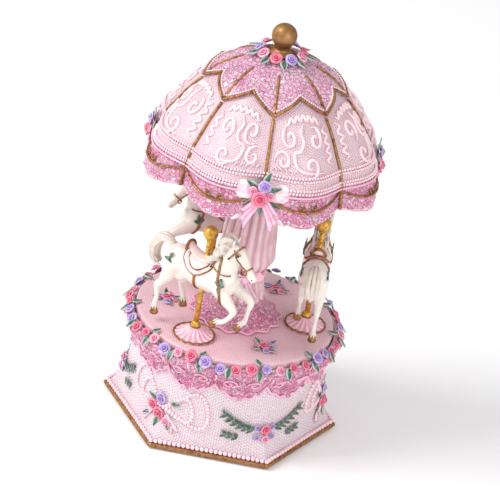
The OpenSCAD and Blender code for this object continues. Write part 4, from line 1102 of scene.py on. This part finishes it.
def star_cords():
    """Gold cord round the star and up its ribs, with rows of small pearls inside it."""
    shape = Shape()
    a = np.arange(0, 360, 1.125)
    shape.tube(lifted(dome_surface, a, cap_share(a, 0.99), 1.25 + 0 * a)[0], 0.58, 8, closed=True)
    path = lifted(dome_surface, a, cap_share(a, 0.9), 1.3 + 0 * a)[0]
    pearls(shape, np.vstack([path, path[:1]]), 0.5, 1.05, 1)
    for k in range(PANELS):
        t = np.linspace(0.22, 0.98, 40)
        shape.tube(lifted(dome_surface, rib_angle(k) + 0 * t, cap_share(rib_angle(k), t),
                          1.25 + 0 * t)[0], 0.55, 8)
    make("star_gold_cords", shape, [BRONZE, PEARL], "carousel", ["star_trim"])


def canopy_trims():
    """A bow with flowers in front of every second rib."""
    bows, blooms, leaves = Shape(), Shape(), Shape()
    for k in range(0, PANELS, 2):
        a0 = rib_angle(k)
        root = dome_surface(a0, 0.86)
        r = math.hypot(root[0], root[1]) + 2.2
        at, way = local_axes(r, a0, root[2])
        out = way(0, -1, 0.15)
        for side in (-1, 1):
            puff(bows, at(side * 0.3, 0.1, 0.6), way(side, 0.2, 0.2), out, 11, 8.4, 3.4)
            ribbon_tail(bows, at(side * 0.9, -0.3, -0.6), way(side * 0.6, 0.0, -1), out, 14, 7, 0, 0.7)
        bows.ball(at(0, -0.4, 0.4), 1.7, 0, 0.4)
        for x, y, z, size, look in ((-0.8, -0.7, -0.2, 3.5, 0), (0.4, -0.2, 5.2, 2.8, 2),
                                    (-4.0, -0.1, 2.6, 2.1, 1),
                                    (3.2, -0.3, 1.2, 2.0, 1)):
            rose(blooms, at(x, y, z), out, size, look, 40 * x)
        for x, z, dx, dz in ((-2.4, 3.6, -0.9, 0.6), (2.2, 3.2, 1, 0.35), (-0.2, -3.0, 0.1, -1),
                             (-2.4, -1.6, -0.9, -0.6),
                             (2.8, -1.4, 1, -0.5), (0.4, 6.0, 0.3, 1)):
            leaf(leaves, at(x, 0.2, z), way(dx, 0.15, dz), out, 5.2, 3.1, curl=0.08)
    make("canopy_ribbon_bows", bows, [BOW], "carousel", ["canopy_bows"])
    make("canopy_blooms", blooms, [ROSE, ROSE_PALE, LAVENDER], "carousel", ["canopy_roses"])
    make("canopy_foliage", leaves, [LEAF], "carousel", ["canopy_leaves"])


def crown_flowers():
    """A wreath of roses and leaves round the finial."""
    shape = Shape()
    top = low("finial")[2] + 1.7
    for i in range(9):
        a = i * 40 + 20
        rose(shape, polar(8.6, a, top), polar(0.75, a) + [0, 0, 1], 2.7, [1, 3, 2][i % 3], 25 * i)
        toward = polar(1, i * 40) - [0, 0, 0.42]
        leaf(shape, polar(9.4, i * 40, top - 0.1), toward, [0, 0, 1], 5.0, 3.0, 0)
    make("crown_wreath", shape, [LEAF, ROSE, ROSE_PALE, LAVENDER], "carousel", ["crown_roses"])


def finial():
    """Turned collar and neck under a satin ball."""
    shape = Shape()
    a = np.arange(0, 360, 5.0)
    z0, z1 = low("finial")[2], high("finial")[2]
    r = (high("finial") - low("finial"))[0] / 2
    ball_r = 5.15
    centre = z1 - ball_r
    profile = [(2.2, z0), (r - 0.5, z0), (r, z0 + 0.5), (r - 0.1, z0 + 1.0), (r - 0.9, z0 + 1.4),
               (r - 1.3, z0 + 1.9),
               (3.4, z0 + 2.4), (2.9, z0 + 2.9), (3.2, z0 + 3.5)]
    start = math.asin(3.2 / ball_r)
    profile += [(ball_r * math.sin(p), centre - ball_r * math.cos(p)) for p in np.linspace(start,
        math.pi - 0.03, 26)]
    shape.grid(np.array([polar(x, a, z) for x, z in profile]), caps=True)
    pearls(shape, polar(r - 0.35, np.linspace(0, 360, 91), z0 + 1.2), 0.5, 1.15, 1)
    make("finial_ball", shape, [BALL_GOLD, BRONZE], "carousel", ["finial"])


# ------------------------------------------------------------------ the horses
TRUNK = [(-17.4, 0, 31.4, 2.4), (-16, 0, 31.5, 4.9), (-12.5, 0, 31.0, 6.3), (-7, 0, 29.6, 6.2),
         (0, 0, 28.7, 6.3),
         (6, 0, 29.2, 6.4), (11, 0, 30.6, 6.2), (14.6, 0, 31.6, 4.8), (16.4, 0, 32, 2.2)]
NECK = [(6.5, 0, 30, 6.2), (9.6, 0, 35, 5.6), (11.4, 0, 40, 4.5), (12.6, 0, 44.2, 3.7), (13.2, 0, 47.6, 2.5)]
HEAD = [(12.2, 0, 48.0, 1.6), (13.2, 0, 46.6, 3.0), (15.6, 0, 44.8, 3.3), (18.4, 0, 42, 2.5),
        (20.8, 0, 39.2, 2.0),
        (22.8, 0, 37.2, 2.1), (24.1, 0, 35.7, 1.5)]
NEAR_FORE = [(11, 2.6, 29, 4.3), (15.6, 3.2, 27, 3.0), (21.2, 3.6, 25.2, 1.9), (22.1, 3.6, 23.4, 1.6),
             (21.4, 3.6, 19.6, 1.1),
             (20.9, 3.6, 15.6, 1.15), (20.2, 3.6, 13.9, 1.4), (18.6, 3.6, 12, 1.0)]
FAR_FORE = [(10, -2.6, 28, 4.3), (14, -3.4, 24.8, 3.0), (18.6, -3.9, 22, 1.9), (18.9, -3.9, 20.4, 1.5),
            (17.2, -3.9, 17.2, 1.1), (14.8, -3.9, 14.6, 1.15), (13.2, -3.9, 13.8, 1.35),
            (11.6, -3.9, 13.0, 1.0)]
NEAR_HIND = [(-11.8, 2.6, 29.6, 5), (-9.6, 3.4, 25, 3.5), (-10.8, 3.8, 21.2, 2.1), (-12.6, 3.8, 18.8, 1.7),
             (-12.2, 3.8, 15.4, 1.1), (-10.9, 3.8, 12.4, 1.35), (-10.4, 3.8, 10.6, 1.0)]
FAR_HIND = [(-13.2, -2.6, 29.6, 5), (-14.8, -3.6, 23.4, 3.3), (-17.2, -3.8, 18.8, 2.0),
            (-19, -3.8, 16.6, 1.7),
            (-18.5, -3.8, 11.6, 1.1), (-18.9, -3.8, 7.8, 1.35), (-18.8, -3.8, 6, 1.0)]
HOOVES = [((18.7, 3.6, 12.1), (-0.55, 0, -1)), ((11.7, -3.9, 13.1), (-0.75, 0, -0.75)),
          ((-10.4, 3.8, 10.7), (0.1, 0, -1)), ((-18.8, -3.8, 6.2), (0.05, 0, -1))]


def limb(shape, stations, slim, sides=18):
    """Flesh along stations (forward, across, up, radius), "slim" across."""
    s = spline(stations, len(stations) * 6)
    shape_path, r = s[:, :3], np.maximum(s[:, 3], 0.3)
    along = unit(np.gradient(shape_path, axis=0))
    across = unit(np.array([0, 1.0, 0]) - along[:, 1:2] * along)
    rise = np.cross(along, across)
    t = np.arange(sides) * 2 * math.pi / sides
    rings = shape_path[:, None] + r[:, None, None] * (slim * np.cos(t)[None, :, None] * across[:, None]
                                                      + np.sin(t)[None, :, None] * rise[:, None])
    shape.grid(rings, caps=True)


def horse_flesh():
    """Body, legs and head as one smooth skin; returns the mesh and a tree to project on."""
    shape = Shape()
    limb(shape, TRUNK, 0.84, 24)
    limb(shape, NECK, 0.62)
    limb(shape, HEAD, 0.7)
    for leg in (NEAR_FORE, FAR_FORE, NEAR_HIND, FAR_HIND):
        limb(shape, leg, 0.82)
    for side in (-1, 1):
        for centre, size in (((-13, side * 2.6, 31), (4.6, 3.0, 4.9)),
                             ((11.4, side * 2.5, 30.4), (4.4, 3.0, 4.6)),
                             ((13.9, side * 1.3, 29.4), (2.6, 2.0, 3.0)),
                             ((15.2, side * 1.2, 44.0), (2.5, 1.5, 2.4)),
                             ((13.9, side * 1.6, 46.2), (1.3, 0.9, 1.1)),
                             ((22.7, side * 1.0, 37.4), (1.1, 0.7, 1.0)),
                             ((-9.6, side * 3.3, 26.4), (3.3, 1.6, 3.6)),
                             ((12.6, side * 3.2, 27.4), (3.0, 1.5, 2.8))):
            shape.ball(centre, 1, fine=True, stretch=np.diag(size))
        ear = spline([(12.4, side * 1.2, 47.4, 1.0), (12.6, side * 1.7, 49.4, 1.05),
                      (13.2, side * 2.0, 51.6, 0.35)], 10)
        shape.tube(ear[:, :3], ear[:, 3], 10, flat=0.6)
    mesh = bpy.data.meshes.new("horse_raw")
    mesh.from_pydata((np.concatenate(shape.points) * MM).tolist(), [], shape.faces)
    rough = bpy.data.objects.new("horse_raw", mesh)
    bpy.context.scene.collection.objects.link(rough)
    solid = rough.modifiers.new("solid", "REMESH")
    solid.mode, solid.voxel_size = "VOXEL", 0.42 * MM
    even = rough.modifiers.new("even", "SMOOTH")
    even.factor, even.iterations = 0.6, 9
    graph = bpy.context.evaluated_depsgraph_get()
    skin = bpy.data.meshes.new_from_object(rough.evaluated_get(graph))
    bpy.data.objects.remove(rough)
    bpy.data.meshes.remove(mesh)
    skin.name = "horse_skin"
    points = np.empty(len(skin.vertices) * 3)
    skin.vertices.foreach_get("co", points)
    points = points.reshape(-1, 3) / MM
    tree = BVHTree.FromPolygons(points.tolist(), [list(p.vertices) for p in skin.polygons])
    skin.materials.clear()
    skin.materials.append(HORSE)
    skin.polygons.foreach_set("use_smooth", [True] * len(skin.polygons))
    skin.update()
    return skin, tree


def on_skin(tree, start, toward, lift=0.0):
    """The first point of the skin met from "start" on the way "toward", and the normal there."""
    way = Vector(toward).normalized()
    spot, normal, _, _ = tree.ray_cast(Vector(start), way)
    if spot is None:
        spot, normal, _, _ = tree.find_nearest(Vector(start))
    return np.array(spot) + np.array(normal) * lift, np.array(normal)


def horse_hair(shape):
    """Feathered locks for mane, forelock and tail, each a few tapering strands."""
    def lock(points, thick):
        path = spline(points, 26)
        t = np.linspace(0, 1, 26)
        body = thick * np.sin(math.pi * np.clip(t * 0.86 + 0.1, 0, 1)) ** 0.8 + 0.08
        side = unit(np.cross(np.gradient(path, axis=0), [0, 1.0, 0]))
        for k, shift in enumerate((-0.62, 0, 0.62)):
            wind = 0.35 * np.sin(7 * t + k)
            strand = path + side * (shift * body + 0.1 * wind)[:,
                None] + np.array([0, 1.0, 0]) * (0.3 * wind)[:, None]
            shape.tube(strand, body * 0.62, 8, tint=0.5 * abs(shift), flat=0.8)

    for i in range(8):
        t = i / 7
        root = spline(NECK, 20)[int(3 + 15 * t)]
        x, z = root[0] - root[3] * 0.55 - 0.3, root[2] + 1.2 + root[3] * 0.35
        for side in (-1, 1):
            y = side * (0.5 + 0.35 * (i % 2))
            reach = 3.3 + 1.0 * math.sin(i * 2.1) + (0.8 if side > 0 else 0)
            lock([(x + 1.4, y, z - 0.4), (x - 0.3, y * 2.0, z + 0.9),
                  (x - reach * 0.6, y * 3.4, z + 0.3 + 0.4 * (i % 3)),
                  (x - reach, y * 3.2, z - 1.6), (x - reach - 0.7, y * 2.4, z - 0.2 + 0.9 * (i % 2))], 1.0)
    for side in (-1, 0, 1):
        lock([(12.6, side * 0.5, 48.4), (14.2, side * 1.1, 48.4), (15.6, side * 1.3, 46.8),
              (16.8, side * 1.0, 45.8)], 0.55)
    for i, (dy, lift, reach) in enumerate([(0, 2.2, 0), (-1.5, 1.4, -0.8), (1.5, 1.4, -0.6),
                                           (-0.8, 0.3, -1.8), (0.9, 0.4, -2.2), (0, -0.6, -3.0),
                                           (-1.8, 0.1, -2.6), (1.9, 0.2, -3.1)]):
        lock([(-15.8, dy * 0.3, 34.2), (-19, dy * 0.6, 36.6 + 0.4 * lift),
              (-23 - 0.2 * reach, dy, 36.2 + 0.4 * lift),
              (-26 - 0.3 * reach, dy * 1.2, 31.6 + 0.5 * lift),
              (-25.6 - 0.2 * reach, dy * 1.1, 26.6 + lift * 0.9),
              (-23.4 + 0.6 * (i % 3), dy * 0.8, 24 + lift)], 1.25)


def horse_tack(shape, tree):
    """Saddle with cantle and flaps, girth, bridle, eyes, hooves and painted leaves."""
    u = np.linspace(-1, 1, 27)
    v = np.linspace(0, 1, 13)
    for part, lift, x0, x1, fall in ((3, 0.35, -9.0, 5.2, 0.84), (0, 1.0, -6.8, 3.6, 0.6)):
        rows = []
        for t in v:
            row = []
            for s in u:
                point_down = fall * (1 - 0.35 * abs(2 * t - 1) ** 2)
                angle = s * 1.75 * point_down
                x = x0 + (x1 - x0) * (0.5 + (t - 0.5) * (1 - 0.3 * abs(s) ** 3))
                spot, normal = on_skin(tree, (x, 14 * math.sin(angle), 29.5 + 14 * math.cos(angle)),
                                       (0, -math.sin(angle), -math.cos(angle)), lift)
                row.append(spot)
            rows.append(row)
        rows = np.array(rows)
        shape.slab(rows, 0.7, part)
        border = np.vstack([rows[0], rows[:, -1], rows[-1][::-1], rows[::-1, 0]])
        shape.tube(border[::2], 0.42, 6, 1, closed=True)
    seat = []
    for t in np.linspace(0, 1, 16):
        x = -8.2 + 12.4 * t
        z = 36.0 + 3.6 * (1 - t) ** 3 + 1.9 * t**5
        wide = 3.3 * math.sin(math.pi * (0.18 + 0.66 * (1 - t))) ** 0.7
        ring = [(x - 0.8 * (1 - t) ** 4 * math.sin(a), wide * math.cos(a),
                 z + 0.95 * math.sin(a) - 0.25 * wide
                 * math.cos(a) ** 2) for a in np.arange(16) * math.pi / 8]
        seat.append(ring)
    shape.grid(np.array(seat), 0, caps=True)
    cantle = [(-8.3 - 0.5 * math.sin(t), 3.1 * math.cos(t),
               37.4 + 3.4 * math.sin(t) ** 0.7) for t in np.linspace(0.05, 3.09, 18)]
    shape.tube(cantle, 0.62, 8, 1)
    shape.tube([(-8.4, 0, 38.4), (-8.2, 0, 39.6), (-8.7, 0, 40.6)], [2.0, 1.7, 0.8], 14, 0, flat=0.5)
    for x0 in (-1.2, 8.6):
        path = []
        for t in np.arange(0, 36):
            angle = t * math.pi / 18
            spot, _ = on_skin(tree, (x0 + (0 if x0 < 0 else 5 * (1 - math.cos(angle)) / 2),
                                     12 * math.sin(angle),
                                     30 + 12 * math.cos(angle)), (0, -math.sin(angle), -math.cos(angle)), 0.3)
            path.append(spot)
        shape.tube(path, 0.6, 8, 1, closed=True, flat=0.6)
    for centre, along in (((20.2, 0, 39.9), (0.66, 0, -0.75)), ((14.2, 0, 45.6), (0.82, 0, -0.57))):
        side, up = np.array([0, 1.0, 0]), np.cross(along, [0, 1.0, 0])
        path = []
        for t in np.arange(24) * math.pi / 12:
            way = math.cos(t) * side + math.sin(t) * up
            spot, _ = on_skin(tree, np.array(centre) + 6 * way, -way, 0.18)
            path.append(spot)
        shape.tube(path, 0.4, 7, 1, closed=True)
    for side in (-1, 1):
        cheek = []
        for t in np.linspace(0, 1, 14):
            x, z = 13.6 + 6.4 * t, 47.0 - 6.9 * t - 1.2 * math.sin(math.pi * t)
            cheek.append(on_skin(tree, (x, side * 8, z), (0, -side, 0), 0.15)[0])
        shape.tube(cheek, 0.32, 6, 1)
        rein = []
        for t in np.linspace(0, 1, 20):
            x, z = 19.8 - 15.5 * t, 38.7 - 2.4 * t - 2.8 * math.sin(math.pi * t)
            rein.append(on_skin(tree, (x, side * 12, z), (0, -side, 0), 0.25)[0])
        shape.tube(rein[7:], 0.3, 6, 1)
        bit, normal = on_skin(tree, (19.9, side * 8, 38.8), (0, -side, 0), 0.25)
        ring = np.arange(16) * math.pi / 8
        shape.tube(bit + 0.85 * np.stack([np.cos(ring), 0 * ring, np.sin(ring)], -1), 0.25, 6, 1, closed=True)
        eye, normal = on_skin(tree, (15.6, side * 8, 45.1), (0, -side, 0), -0.25)
        shape.ball(eye, 0.85, 2, stretch=np.diag([1.1, 0.7, 0.85]), fine=True)
        lash = [on_skin(tree, (15.6 + 1.3 * math.cos(t), side * 8, 45.2 + 0.95 * math.sin(t)),
                        (0, -side, 0), 0.1)[0]
                for t in np.linspace(0.1, 3.1, 9)]
        shape.tube(lash, 0.2, 5, 1)
        shape.ball(on_skin(tree, (23.4, side * 5, 37.0), (0, -side, 0), -0.15)[0], 0.35, 2)
        for x, z, turn in ((11.6, 31.4, 80), (11.9, 30.6, 160), (11.2, 30.4, 20), (11.5, 29.8, 270),
                           (-14.0, 32.6, 60),
                           (-13.4, 31.8, 180), (-14.2, 31.6, 300)):
            spot, normal = on_skin(tree, (x, side * 12, z), (0, -side, 0), 0.12)
            toward = (math.cos(math.radians(turn)), 0, math.sin(math.radians(turn)))
            leaf(shape, spot, toward, normal, 2.9, 1.7, 4, 0.0, 0.15)
    for start, way in HOOVES:
        way = unit(np.array(way, float))
        path = np.array(start) + way * np.linspace(0, 2.7, 6)[:, None]
        shape.tube(path, [1.15, 1.4, 1.45, 1.65, 1.85, 1.7], 14, 1)
        for turn in np.arange(0, 360, 60):
            side, up = axes_for(way)
            foot = np.array(start) + 1.0 * (side * math.cos(math.radians(turn)) + up
                                            * math.sin(math.radians(turn)))
            shape.tube([foot - way * 1.6, foot - way * 0.4, foot + way * 0.7 + 0.3 * unit(foot - start)],
                       [0.2, 0.45, 0.1], 6, 5)


def horses():
    """Three copies of one horse, each on its own pole, with hair and tack as separate pieces."""
    skin, tree = horse_flesh()
    hair, tack = Shape(), Shape()
    horse_hair(hair)
    horse_tack(tack, tree)
    for k in range(3):
        turn = math.radians(120 * k)
        body = bpy.data.objects.new(f"horse_body_{k + 1}", skin)
        body.location = polar(POLE_RING_R, 120 * k, DECK_TOP) * MM
        body.rotation_euler = (0, 0, turn)
        bpy.context.scene.collection.objects.link(body)
        bpy.context.view_layer.update()
        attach(body, "carousel")
        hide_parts(f"horse_{k + 1}")
        for name, part, looks, slot in (("mane_and_tail", hair, [MANE], "horse_ivory"),
                                        ("tack", tack, [SADDLE, BRONZE, EYE, FAN, LEAF, MANE], "trim_gold")):
            copy = Shape()
            copy.points = [placed(p, POLE_RING_R, 120 * k, DECK_TOP) for p in part.points]
            copy.faces, copy.parts, copy.flow, copy.tints = part.faces, part.parts, part.flow, part.tints
            make(f"horse_{name}_{k + 1}", copy, looks, "carousel")


# ------------------------------------------------------------------ the movement
def movement():
    """The works and the key keep their own shapes, in turned and rolled metal."""
    looks = {FELT: "felt_pads",
             STEEL: "foot_plate_screws mount_plate_screws movement_screws comb_screws hub_screws comb"
             " output_shaft tie_rod cylinder_pins governor_bracket",
             MOULDED: "mount_plate governor_fan turntable_hub",
             BLUED: "mainspring", CAST: "base_top",
             BRASS: "bedplate spring_barrel cylinder_brackets bearing_bush great_wheel cylinder"
             " crown_gear idler governor_worm winding_key"}
    for look, names in looks.items():
        for name in names.split():
            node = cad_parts[name]
            node.data.materials.clear()
            node.data.materials.append(look)


# ------------------------------------------------------------------ studio
def studio():
    """Pale floor, soft white surroundings and two broad lamps."""
    floor = bpy.data.meshes.new("floor")
    floor.from_pydata([(-3, -3, 0), (3, -3, 0), (3, 3, 0), (-3, 3, 0)], [], [(0, 1, 2, 3)])
    ground = bpy.data.objects.new("floor", floor)
    floor.materials.append(Look("floor_paper", Roughness=0.9).done((1.0, 1.0, 1.0)))
    bpy.context.scene.collection.objects.link(ground)
    world = bpy.data.worlds.new("studio")
    bpy.context.scene.world = world
    world.use_nodes = True
    sky = world.node_tree.nodes["Background"]
    sky.inputs["Color"].default_value = (1, 1, 1, 1)
    sky.inputs["Strength"].default_value = 0.6
    for name, spot, size, power in (("lamp_left", (-0.7, -0.7, 1.0), 0.7, 14),
                                    ("lamp_right", (1.0, -0.5, 0.7), 0.8, 6)):
        lamp = bpy.data.lights.new(name, "AREA")
        lamp.size, lamp.energy = size, power
        holder = bpy.data.objects.new(name, lamp)
        holder.location = spot
        holder.rotation_euler = (Vector((0, 0, 0.08)) - Vector(spot)).to_track_quat("-Z", "Y").to_euler()
        bpy.context.scene.collection.objects.link(holder)
    bpy.context.scene.view_settings.view_transform = "Standard"


def camera():
    """The viewpoint of the picture: 31 degrees round, 28 up, and leaning 10 degrees."""
    turn, rise, lean = math.radians(31), math.radians(28.063), math.radians(10.133)
    right = Vector((math.cos(turn), math.sin(turn), 0))
    back = Vector((math.sin(turn) * math.cos(rise), -math.cos(turn) * math.cos(rise), math.sin(rise)))
    up = back.cross(right)
    x = right * math.cos(lean) + up * math.sin(lean)
    y = up * math.cos(lean) - right * math.sin(lean)
    lens = bpy.data.cameras.new("camera")
    lens.lens, lens.sensor_width, lens.clip_start = 204.4, 36, 0.05
    view = bpy.data.objects.new("camera", lens)
    target = right * 0.00144 + Vector((0, 0, 0.07703))
    spot = target + back * 1.1744
    view.matrix_world = Matrix.Translation(spot) @ Matrix((x, y, back)).transposed().to_4x4()
    bpy.context.scene.collection.objects.link(view)
    bpy.context.scene.camera = view


foot_plate()
foot_pearls()
body_shell()
lace_drape()
rim_garland()
body_bows()
body_garlands()
deck()
posies()
pedestals()
poles()
column()
column_skirt()
column_tie()
dome_shell()
dome_icing()
dome_pearls()
dome_gold()
valance()
star_cap()
star_cords()
canopy_trims()
crown_flowers()
finial()
horses()
movement()
studio()
camera()
bpy.context.view_layer.update()
